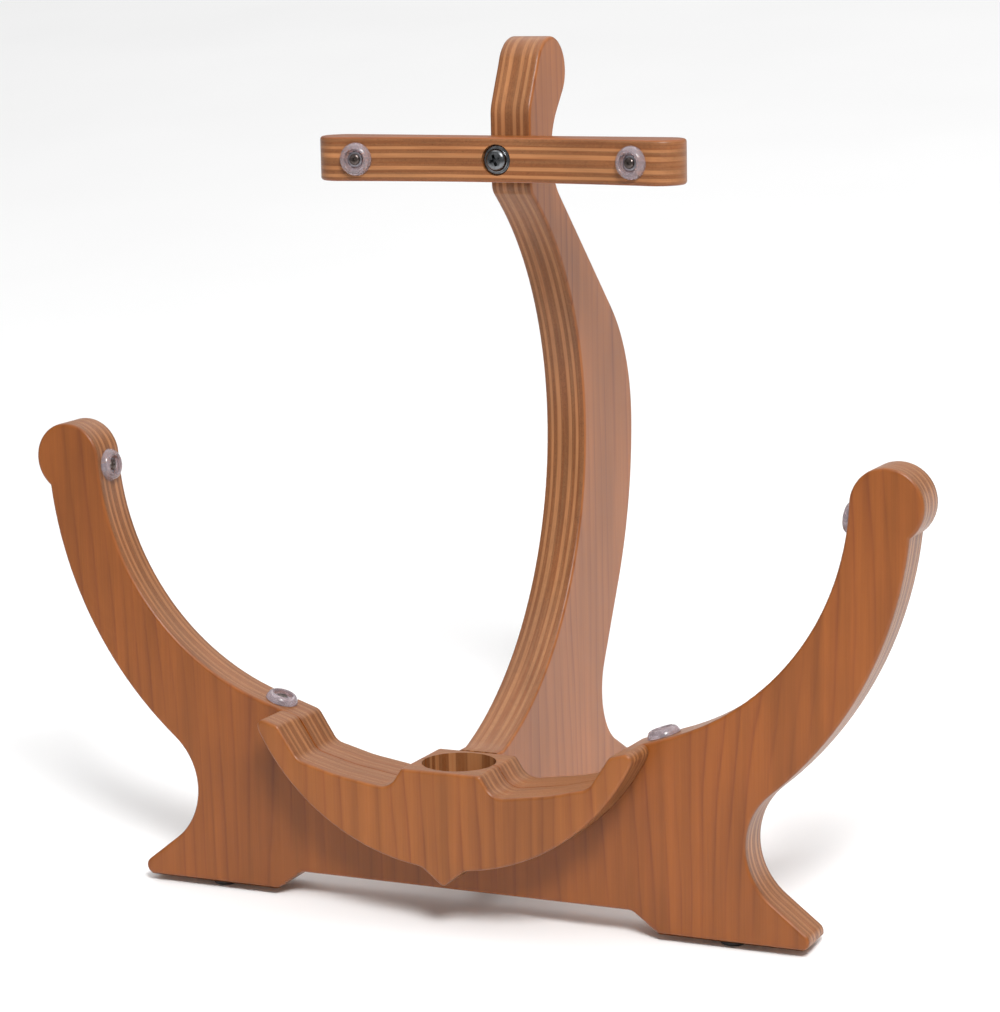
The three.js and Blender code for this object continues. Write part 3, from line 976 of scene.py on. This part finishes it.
def smooth_up_to(bm: bmesh.types.BMesh, degrees: float) -> None:
    """Shades smoothly across every edge that turns by less than this angle.

    Args:
        bm: The shape.
        degrees: The angle from which an edge is sharp.
    """
    for face in bm.faces:
        face.smooth = True
    for edge in bm.edges:
        edge.smooth = len(edge.link_faces) == 2 and edge.calc_face_angle() < math.radians(degrees)


def turned(profile: Outline, steps: int) -> bmesh.types.BMesh:
    """Spins a profile about the z axis, as a lathe does.

    Args:
        profile: Radius and height pairs in millimetres. It closes on itself unless it ends on the axis.
        steps: Faces round the axis.

    Returns:
        The turned shape.
    """
    bm = bmesh.new()
    points = [bm.verts.new((radius * MM, 0.0, height * MM)) for radius, height in profile]
    pairs = list(zip(points, points[1:]))
    if profile[0][0] > 0:
        pairs.append((points[-1], points[0]))
    edges = [bm.edges.new(pair) for pair in pairs]
    bmesh.ops.spin(
        bm,
        geom=points + edges,
        cent=(0, 0, 0),
        axis=(0, 0, 1),
        angle=2 * math.pi,
        steps=steps,
        use_merge=True,
    )
    bmesh.ops.remove_doubles(bm, verts=bm.verts, dist=1e-7)
    bmesh.ops.recalc_face_normals(bm, faces=bm.faces)
    return bm


def aim(bm: bmesh.types.BMesh, at: Vector, out: Vector) -> None:
    """Moves a shape that stands on z = 0 to a seat, with its z axis along out."""
    turn = Vector((0, 0, 1)).rotation_difference(out).to_matrix().to_4x4()
    bmesh.ops.transform(bm, matrix=Matrix.Translation(at) @ turn, verts=bm.verts)


def rounded(
    start: tuple[float, float],
    end: tuple[float, float],
    bulge: tuple[float, float],
    steps: int,
) -> Outline:
    """Draws a curve that is pulled towards one control point.

    Args:
        start: First point.
        end: Last point.
        bulge: The control point.
        steps: How many pieces it has.

    Returns:
        Its points.
    """
    points = []
    for i in range(steps + 1):
        t = i / steps
        weights = ((1 - t) ** 2, 2 * t * (1 - t), t ** 2)
        points.append(tuple(sum(w * p[k] for w, p in zip(weights, (start, bulge, end))) for k in (0, 1)))
    return points


# ---- Boards ---------------------------------------------------------------------------------------


@dataclass(frozen=True)
class Board:
    """One sawn board with its routed round-over.

    Attributes:
        node: The frame node that gives the sawn shape.
        body: The body that it rides on.
        finish: Its laminated finish, which also says how it lies.
        keeps_square: Says, of a point in board axes, whether the router left that edge alone.
        thickness: Depth of the board's far face.
        round_over: Radius of the routed edges.
        segments: Faces across the round-over.
    """

    node: str
    body: str
    finish: LaminatedCherry
    keeps_square: Callable[[Vector], bool]
    thickness: float = BOARD
    round_over: float = 1.4 * MM
    segments: int = 4

    SQUARE_FROM: ClassVar[float] = math.radians(60)
    FLAT_UP_TO: ClassVar[float] = math.radians(0.6)
    NEAR: ClassVar[float] = 0.05 * MM

    def build(self, effects: Effects) -> bpy.types.Object:
        """Makes the board.

        Args:
            effects: The shared node groups.

        Returns:
            The finished piece.
        """
        bm = bmesh.new()
        bm.from_mesh(frame["nodes"][self.node].data)
        bmesh.ops.remove_doubles(bm, verts=bm.verts, dist=1e-6)
        bmesh.ops.dissolve_limit(bm, angle_limit=self.FLAT_UP_TO, verts=bm.verts, edges=bm.edges)
        sole = min(vert.co.z for vert in bm.verts)
        bmesh.ops.bevel(
            bm,
            geom=self.routed_edges(bm),
            offset=self.round_over,
            offset_type="OFFSET",
            segments=self.segments,
            profile=0.5,
            affect="EDGES",
            clamp_overlap=False,
            loop_slide=False,
            material=-1,
        )
        axes = self.finish.board_axes()
        self.refill(bm, lambda point: (axes @ point).y)
        self.refill(bm, lambda point: (axes @ point).y - self.thickness)
        self.refill(bm, lambda point: point.z - sole)
        bmesh.ops.recalc_face_normals(bm, faces=bm.faces)
        smooth_up_to(bm, TIMBER_SHARP)
        material = self.finish.build(effects)
        return finish_piece(bm, f"{self.node}_board", self.body, material, [self.node])

    def refill(self, bm: bmesh.types.BMesh, height: Callable[[Vector], float]) -> None:
        """Fills one flat side anew up to its rim, so that no sliver crosses it.

        Args:
            bm: The board with its round-over.
            height: Gives a point's height over the side.
        """
        flat = {face for face in bm.faces if all(abs(height(vert.co)) < self.NEAR for vert in face.verts)}
        if not flat:
            return
        edges = {edge for face in flat for edge in face.edges}
        inner = [edge for edge in edges if flat.issuperset(edge.link_faces)]
        rim = list(edges.difference(inner))
        normal = max(flat, key=lambda face: face.calc_area()).normal.copy()
        bmesh.ops.delete(bm, geom=list(flat), context="FACES_ONLY")
        bmesh.ops.delete(bm, geom=inner, context="EDGES")
        bmesh.ops.triangle_fill(bm, use_beauty=True, edges=rim, normal=normal)

    def routed_edges(self, bm: bmesh.types.BMesh) -> list[bmesh.types.BMEdge]:
        """Picks the square edges round the board's two faces, apart from those that stay square.

        Args:
            bm: The sawn board.

        Returns:
            The edges.
        """
        axes = self.finish.board_axes()
        routed = []
        for edge in bm.edges:
            if len(edge.link_faces) != 2 or edge.calc_face_angle() < self.SQUARE_FROM:
                continue
            depths = [(axes @ vert.co).y for vert in edge.verts]
            on_face = max(depths) < self.NEAR or min(depths) > self.thickness - self.NEAR
            middle = LEANING.to_board @ ((edge.verts[0].co + edge.verts[1].co) / 2)
            if on_face and not self.keeps_square(middle):
                routed.append(edge)
        return routed


class Boards:
    """The four boards of the stand."""

    GLUE_GAP = 0.3 * MM
    POCKET_HALF_WIDTH = 77 * MM
    POCKET_FLOOR = 50 * MM
    HOLE_REACH = 10 * MM
    HOLES_FROM = 18 * MM
    HOLES_TO = 46 * MM

    def in_pocket(self, point: Vector) -> bool:
        """Whether a point in board axes lies on the pocket, where cradle and lip are flush."""
        return abs(point.x) < self.POCKET_HALF_WIDTH and point.z > self.POCKET_FLOOR and point.y > -BOARD / 2

    def on_lip_back(self, point: Vector) -> bool:
        """Whether a point lies on the lip's glued face."""
        return point.y > -BOARD / 2

    def on_butt(self, point: Vector) -> bool:
        """Whether a point lies on the upright's glued end."""
        return point.y < BOARD + 2 * self.GLUE_GAP

    def on_post_hole(self, point: Vector) -> bool:
        """Whether a point lies on the rim of a hole for one of the hidden post screws."""
        return abs(point.x) < self.HOLE_REACH and self.HOLES_FROM < point.z < self.HOLES_TO

    def on_cradle_square(self, point: Vector) -> bool:
        """Whether a point of the cradle lies on a post hole or on its front edge along the pocket."""
        return self.on_post_hole(point) or self.in_pocket(point) and point.y < BOARD / 2

    def never(self, point: Vector) -> bool:
        """Every edge is routed."""
        return False

    def build(self, effects: Effects) -> list[bpy.types.Object]:
        """Makes the boards.

        Args:
            effects: The shared node groups.

        Returns:
            The four pieces.
        """
        half = BOARD / 2
        cradle = LaminatedCherry("cradle_cherry", Lay.ACROSS, Vector((0, half, 0)), seed=1.0)
        # The upright's face colour is paler and less red than the cradle's partly as painted sheen from the
        # light at the stand's right.
        paler, palest_with_sheen = srgb(145, 84, 36), srgb(154, 91, 44)
        lip = LaminatedCherry("lip_cherry", Lay.ACROSS, Vector((0, -half, 0)), seed=4.3, face=paler)
        upright = LaminatedCherry("upright_cherry", Lay.FORE_AND_AFT, Vector(), seed=7.9, face=palest_with_sheen)
        middle = Vector((0, 0, Leaning.PIVOT.z))
        bar = LaminatedCherry("crossbar_cherry", Lay.LEVEL, middle, seed=11.2, shift=-1.5 * MM)
        boards = [
            Board("cradle", "root", cradle, self.on_cradle_square),
            Board("lip", "root", lip, self.on_lip_back, thickness=BOARD - self.GLUE_GAP),
            Board("upright", "root", upright, self.on_butt),
            Board("crossbar", "crossbar", bar, self.never),
        ]
        return [board.build(effects) for board in boards]


# ---- Turned hardware ------------------------------------------------------------------------------


@dataclass(frozen=True)
class Seat:
    """Where a turned piece sits: a point on the wood and the direction that faces away from it."""

    at: Vector
    out: Vector

    @classmethod
    def under(cls, node: str, fastener: str, gap: float) -> Seat:
        """Finds the seat under a turned node from the node and the screw that runs through it.

        Args:
            node: The turned node that stands on the wood.
            fastener: Its screw, which reaches deeper into the wood.
            gap: Play between the node and the wood.

        Returns:
            The seat on the wood.
        """
        points = cls.points(node)
        centre = sum(points, Vector()) / len(points)
        deep = cls.points(fastener)
        out = (centre - sum(deep, Vector()) / len(deep)).normalized()
        lowest = min((point - centre).dot(out) for point in points)
        return cls(centre + out * (lowest - gap), out)

    @staticmethod
    def points(node: str) -> list[Vector]:
        """A node's own corner points, each once."""
        mesh = frame["nodes"][node].data
        return [Vector(co) for co in {tuple(round(c, 6) for c in vert.co) for vert in mesh.vertices}]


    def place(
        self,
        body: str,
        parts: Sequence[tuple[str, bmesh.types.BMesh, bpy.types.Material, str]],
    ) -> list[bpy.types.Object]:
        """Sets turned shapes on the seat, one on the other.

        Args:
            body: The body that they ride on.
            parts: Node, shape on z = 0, finish, and a slot name that is not used, of each.

        Returns:
            The pieces.
        """
        pieces = []
        for node, bm, material, slot in parts:
            aim(bm, self.at, self.out)
            smooth_up_to(bm, TURNED_SHARP)
            pieces.append(finish_piece(bm, f"{node}_turned", body, material, [node]))
        return pieces


@dataclass(frozen=True)
class CrossRecess:
    """The cross-shaped drive in a screw's head.

    Attributes:
        length: Tip to tip.
        width: Width of each wing.
        depth: How deep it is cut.
        top: Height of the head's top over its seat.
        angle: Degrees that the cross is turned.
    """

    length: float
    width: float
    depth: float
    top: float
    angle: float = 45.0

    FOOT_TAPER: ClassVar[Triple] = (0.35, 0.6, 1.0)

    def cut(self, bm: bmesh.types.BMesh) -> bmesh.types.BMesh:
        """Cuts the drive out of a head that stands on z = 0.

        Args:
            bm: The head. It is freed.

        Returns:
            The head with its drive.
        """
        head = linked(bm, "head")
        for quarter in (0, 1):
            wing = bmesh.new()
            bmesh.ops.create_cube(wing, size=1.0)
            bmesh.ops.scale(wing, vec=(self.length, self.width, 2 * self.depth), verts=wing.verts)
            foot = [vert for vert in wing.verts if vert.co.z < 0]
            bmesh.ops.scale(wing, vec=self.FOOT_TAPER, verts=foot)
            bmesh.ops.translate(wing, vec=(0, 0, self.top), verts=wing.verts)
            turn = Matrix.Rotation(math.radians(self.angle + 90 * quarter), 4, "Z")
            bmesh.ops.transform(wing, matrix=turn, verts=wing.verts)
            cutter = linked(wing, "wing")
            bpy.context.view_layer.update()
            carve = head.modifiers.new("drive", "BOOLEAN")
            carve.operation = "DIFFERENCE"
            carve.solver = "EXACT"
            carve.object = cutter
            evaluated = head.evaluated_get(bpy.context.evaluated_depsgraph_get())
            carved = bpy.data.meshes.new_from_object(evaluated)
            head.modifiers.clear()
            head.data = carved
            bpy.data.objects.remove(cutter)
        result = bmesh.new()
        result.from_mesh(head.data)
        bpy.data.objects.remove(head)
        return result


@dataclass(frozen=True)
class Bumper:
    """A clear recessed bumper with its washer and screw. Sizes are millimetres.

    Attributes:
        name: Name of the bumper's node.
        body: The body that it rides on.
        radius: Outer radius.
        height: Height over the wood.
        recess: Radius of the recess.
        floor: Thickness left under the recess.
        hole: Radius of the screw hole.
        washer_radius: Outer radius of the washer.
        steps: Faces round the axis.
    """

    name: str
    body: str
    radius: float = 7.14
    height: float = 3.45
    recess: float = 4.3
    floor: float = 0.9
    hole: float = 1.5
    washer_radius: float = 3.3
    steps: int = 64

    def build(self, hardware: Hardware) -> list[bpy.types.Object]:
        """Makes the bumper, its washer and its screw.

        Args:
            hardware: The hardware finishes.

        Returns:
            The three pieces.
        """
        screw, washer = f"{self.name}_screw", f"{self.name}_washer"
        seat = Seat.under(self.name, screw, Boards.GLUE_GAP)
        parts = (
            (self.name, self.cup(), hardware.vinyl, "clear_vinyl"),
            (washer, self.washer(), hardware.zinc, "zinc_steel"),
            (screw, self.screw(), hardware.black, "black_screw"),
        )
        return seat.place(self.body, parts)

    def cup(self) -> bmesh.types.BMesh:
        """Turns the moulded vinyl cup.

        Returns:
            The cup on z = 0.
        """
        r, h, well = self.radius, self.height, self.recess
        crown = r - 2.3
        profile = [
            (self.hole, 0.03),
            (r - 0.2, 0.03),
            (r, 0.2),
            *rounded((r - 0.02, 0.55), (crown, h), (r - 0.6, h - 0.35), 9),
            *rounded((crown - 0.12, h), (well, h - 0.8), (well + 0.05, h - 0.05), 4),
            *rounded((well - 0.1, self.floor + 0.4), (well - 0.45, self.floor), (well - 0.1, self.floor), 3),
            (self.hole, self.floor),
        ]
        return turned(profile, self.steps)

    def washer(self) -> bmesh.types.BMesh:
        """Turns the pressed washer on the recess floor.

        Returns:
            The washer, at its height over the wood.
        """
        low, high = self.floor + 0.02, self.floor + 0.52
        inner, outer, ease = self.hole + 0.1, self.washer_radius, 0.12
        profile = [
            (inner, low),
            (outer - ease, low),
            (outer, low + ease),
            (outer, high - ease),
            (outer - ease, high),
            (inner + ease, high),
            (inner, high - ease),
        ]
        return turned(profile, self.steps)

    def screw(self) -> bmesh.types.BMesh:
        """Turns the pan-head screw, with its drive and its shank in the wood.

        Returns:
            The screw, at its height over the wood.
        """
        seat, head, height, shank = self.floor + 0.55, 2.4, 1.15, 1.3
        profile = [
            (0.0, seat - 11.5),
            (0.5 * shank, seat - 10.0),
            (shank, seat - 7.0),
            (shank, seat),
            (head - 0.1, seat),
            (head, seat + 0.12),
            *rounded((head, seat + 0.35), (0.9, seat + height), (head - 0.15, seat + height - 0.05), 6),
            (0.0, seat + height + 0.02),
        ]
        recess = CrossRecess(2.5 * MM, 0.5 * MM, 0.75 * MM, (seat + height) * MM)
        return recess.cut(turned(profile, 40))


@dataclass(frozen=True)
class Foot:
    """A rubber foot with its screw in a recess underneath. Sizes are millimetres.

    Attributes:
        name: Name of the foot's node.
        radius: Outer radius.
        height: How far it stands off the wood.
        recess: Radius of the screw's recess.
        floor: Thickness left over the recess.
        hole: Radius of the screw hole.
        steps: Faces round the axis.
    """

    name: str
    radius: float = 6.35
    height: float = 3.5
    recess: float = 3.4
    floor: float = 1.9
    hole: float = 1.9
    steps: int = 56

    def build(self, hardware: Hardware) -> list[bpy.types.Object]:
        """Makes the foot and its screw.

        Args:
            hardware: The hardware finishes.

        Returns:
            The two pieces.
        """
        screw = f"{self.name}_screw"
        seat = Seat.under(self.name, screw, Boards.GLUE_GAP)
        parts = (
            (self.name, self.pad(), hardware.rubber, "foot_rubber"),
            (screw, self.screw(), hardware.black, "black_screw"),
        )
        return seat.place("root", parts)

    def pad(self) -> bmesh.types.BMesh:
        """Turns the moulded pad.

        Returns:
            The pad on z = 0.
        """
        r, h = self.radius, self.height
        profile = [
            (self.hole, 0.03),
            (r - 0.2, 0.03),
            (r, 0.25),
            *rounded((r, h - 1.1), (r - 1.1, h), (r - 0.05, h - 0.05), 6),
            *rounded((self.recess + 0.3, h), (self.recess, h - 0.3), (self.recess, h), 3),
            (self.recess, self.floor),
            (self.hole, self.floor),
        ]
        return turned(profile, self.steps)

    def screw(self) -> bmesh.types.BMesh:
        """Turns the screw that holds the pad.

        Returns:
            The screw, at its height over the wood.
        """
        seat, head, height, shank = self.floor + 0.02, 2.9, 0.95, 1.6
        profile = [
            (0.0, seat - 13.5),
            (0.5 * shank, seat - 11.5),
            (shank, seat - 8.0),
            (shank, seat),
            (head, seat),
            *rounded((head, seat + 0.25), (1.0, seat + height), (head - 0.2, seat + height), 5),
            (0.0, seat + height + 0.02),
        ]
        recess = CrossRecess(3.0 * MM, 0.6 * MM, 0.7 * MM, (seat + height) * MM)
        return recess.cut(turned(profile, 40))


@dataclass(frozen=True)
class PivotScrew:
    """The flanged machine screw that the crossbar turns on. Sizes are millimetres.

    Attributes:
        flange: Radius of the flange.
        flange_height: Its thickness.
        dome: Radius of the head over the flange.
        height: From the head's seat to its top.
        shank: Radius of the shank.
        length: Length of the shank.
    """

    flange: float = 6.3
    flange_height: float = 1.0
    dome: float = 4.7
    height: float = 3.5
    shank: float = 2.9
    length: float = 25.0

    def build(self, hardware: Hardware) -> bpy.types.Object:
        """Makes the screw.

        Args:
            hardware: The hardware finishes.

        Returns:
            The piece.
        """
        points = Seat.points("crossbar_screw")
        out = -(LEANING.to_frame.to_3x3() @ Vector((0, 1, 0)))
        pivot = Vector(frame["joints"][0]["pos_m"])
        top = max((point - pivot).dot(out) for point in points)
        seat = pivot + out * (top - self.height * MM)
        drive = CrossRecess(7.4 * MM, 1.6 * MM, 2.1 * MM, self.height * MM, angle=18.0)
        bm = drive.cut(turned(self.profile(), 72))
        parts = [("crossbar_screw", bm, hardware.gunmetal, "gunmetal_screw")]
        return Seat(seat, out).place("root", parts)[0]

    def profile(self) -> Outline:
        """Draws the outline of the head and shank.

        Returns:
            Its points, from the tip to the crown.
        """
        rim, rise, top = self.flange, self.flange_height, self.height
        return [
            (0.0, -self.length),
            (self.shank - 0.6, -self.length),
            (self.shank, -self.length + 0.8),
            (self.shank, 0.0),
            (rim - 0.2, 0.0),
            (rim, 0.2),
            (rim, rise - 0.45),
            *rounded((rim - 0.1, rise - 0.2), (self.dome + 0.25, rise + 0.05), (rim - 0.5, rise + 0.05), 4),
            *rounded((self.dome, rise + 0.25), (2.6, top - 0.1), (self.dome - 0.1, top - 0.5), 8),
            (0.0, top),
        ]


class HiddenFittings:
    """Insert, post screws and dowels, whose own solids have the right shape."""

    def dress(self, hardware: Hardware) -> None:
        """Gives each hidden fitting its finish.

        Args:
            hardware: The hardware finishes.
        """
        finishes = {
            "crossbar_insert": hardware.brass,
            "post_screw_lower": hardware.zinc,
            "post_screw_upper": hardware.zinc,
            "lip_dowel_left": hardware.beech,
            "lip_dowel_right": hardware.beech,
        }
        for node, material in finishes.items():
            mesh = frame["nodes"][node].data
            mesh.materials.clear()
            mesh.materials.append(material)
            log.info("%s: keeps its solid", node)


# ---- Studio ---------------------------------------------------------------------------------------


def heading(azimuth: float, elevation: float) -> Vector:
    """Turns a bearing into a direction away from the stand.

    Args:
        azimuth: Degrees round from the front, towards +X.
        elevation: Degrees above the level.

    Returns:
        The direction, one unit long.
    """
    turn, rise = math.radians(azimuth), math.radians(elevation)
    return Vector((math.sin(turn) * math.cos(rise), -math.cos(turn) * math.cos(rise), math.sin(rise)))


@dataclass(frozen=True)
class Camera:
    """The view from the stand's front right, a little above it.

    Attributes:
        place: Where the camera stands.
        azimuth: Degrees round from the front, towards +X.
        elevation: Degrees above the level.
        roll: Degrees that it is turned about its own axis.
        lens: Focal length for a 36 mm sensor, in millimetres.
        shift: Sideways and upward shift of the frame.
    """

    place: tuple[float, float, float] = (0.59688, -1.23314, 0.60799)
    azimuth: float = 26.516
    elevation: float = 18.694
    roll: float = -5.284
    lens: float = 117.31
    shift: tuple[float, float] = (0.0146, 0.0278)

    def build(self) -> None:
        """Makes the camera and looks through it."""
        turn = math.radians(self.azimuth)
        back = heading(self.azimuth, self.elevation)
        level = Vector((math.cos(turn), math.sin(turn), 0.0))
        right = Quaternion(back, math.radians(self.roll)) @ level
        axes = Matrix((right, back.cross(right), back)).transposed().to_4x4()
        data = bpy.data.cameras.new("studio_camera")
        data.lens = self.lens
        data.shift_x, data.shift_y = self.shift
        camera = bpy.data.objects.new("studio_camera", data)
        camera.matrix_world = Matrix.Translation(self.place) @ axes
        bpy.context.scene.collection.objects.link(camera)
        bpy.context.scene.camera = camera


@dataclass(frozen=True)
class SoftBox:
    """One square studio light, aimed at the stand.

    Attributes:
        name: The light's name.
        azimuth: Degrees round from the front, towards +X.
        elevation: Degrees above the level.
        distance: Metres from the stand's middle.
        size: Length of its side.
        power: Watts.
    """

    name: str
    azimuth: float
    elevation: float
    distance: float
    size: float
    power: float

    def build(self, target: Vector) -> None:
        """Hangs the light and turns it to the target.

        Args:
            target: The point that it is aimed at.
        """
        away = heading(self.azimuth, self.elevation)
        data = bpy.data.lights.new(self.name, "AREA")
        data.shape = "SQUARE"
        data.size = self.size
        data.energy = self.power
        light = bpy.data.objects.new(self.name, data)
        light.location = target + away * self.distance
        light.rotation_mode = "QUATERNION"
        light.rotation_quaternion = away.to_track_quat("Z", "Y")
        bpy.context.scene.collection.objects.link(light)


class Studio:
    """Pale floor, soft lights and camera."""

    FLOOR_HALF = 6.0
    FLOOR_CLOUDS = (3.0, 3.0, 3.0)
    SKY_STRENGTH = 0.26
    CEILING = SoftBox("ceiling", azimuth=180, elevation=67, distance=3.6, size=8.0, power=205.0)
    KEY = SoftBox("key", azimuth=40, elevation=50, distance=1.7, size=0.5, power=26.0)
    FILL = SoftBox("fill", azimuth=-30, elevation=30, distance=2.2, size=1.2, power=1.5)

    def build(self) -> None:
        """Sets the studio up round the stand."""
        low, high = CAD_BOX
        middle = (low + high) / 2
        self.floor()
        self.sky()
        for light in (self.CEILING, self.KEY, self.FILL):
            light.build(middle)
        Camera().build()
        bpy.context.scene.view_settings.view_transform = "Standard"
        bpy.context.scene.view_settings.look = "None"

    def floor(self) -> None:
        """A plain pale floor, with the faintest unevenness."""
        material, graph, shader = new_material("studio_floor")
        source = graph.node("ShaderNodeTexCoord").outputs["Object"]
        tone = graph.ramp(graph.noise(source, self.FLOOR_CLOUDS), [(0.3, 0.93), (0.7, 0.955)])
        graph.feed(shader.inputs["Base Color"], tone)
        shader.inputs["Roughness"].default_value = 0.9
        shader.inputs["Specular IOR Level"].default_value = 0.1
        bm = bmesh.new()
        bmesh.ops.create_grid(bm, x_segments=1, y_segments=1, size=self.FLOOR_HALF)
        linked(bm, "studio_floor", material)

    def sky(self) -> None:
        """Even white light from all round."""
        world = bpy.data.worlds.new("studio_sky")
        world.use_nodes = True
        background = world.node_tree.nodes["Background"]
        background.inputs["Color"].default_value = (1.0, 1.0, 1.0, 1.0)
        background.inputs["Strength"].default_value = self.SKY_STRENGTH
        bpy.context.scene.world = world


# ---- The whole stand ------------------------------------------------------------------------------


def main() -> None:
    """Builds every sub-assembly in order and sets up the studio."""
    effects = Effects.build()
    hardware = Hardware.build()
    Boards().build(effects)
    for place in ("arm", "seat", "bar"):
        for side in ("left", "right"):
            body = "crossbar" if place == "bar" else "root"
            Bumper(f"bumper_{place}_{side}", body).build(hardware)
    for place in ("left", "right", "rear"):
        Foot(f"foot_{place}").build(hardware)
    PivotScrew().build(hardware)
    HiddenFittings().dress(hardware)
    Studio().build()


if __name__ == "__main__":
    main()
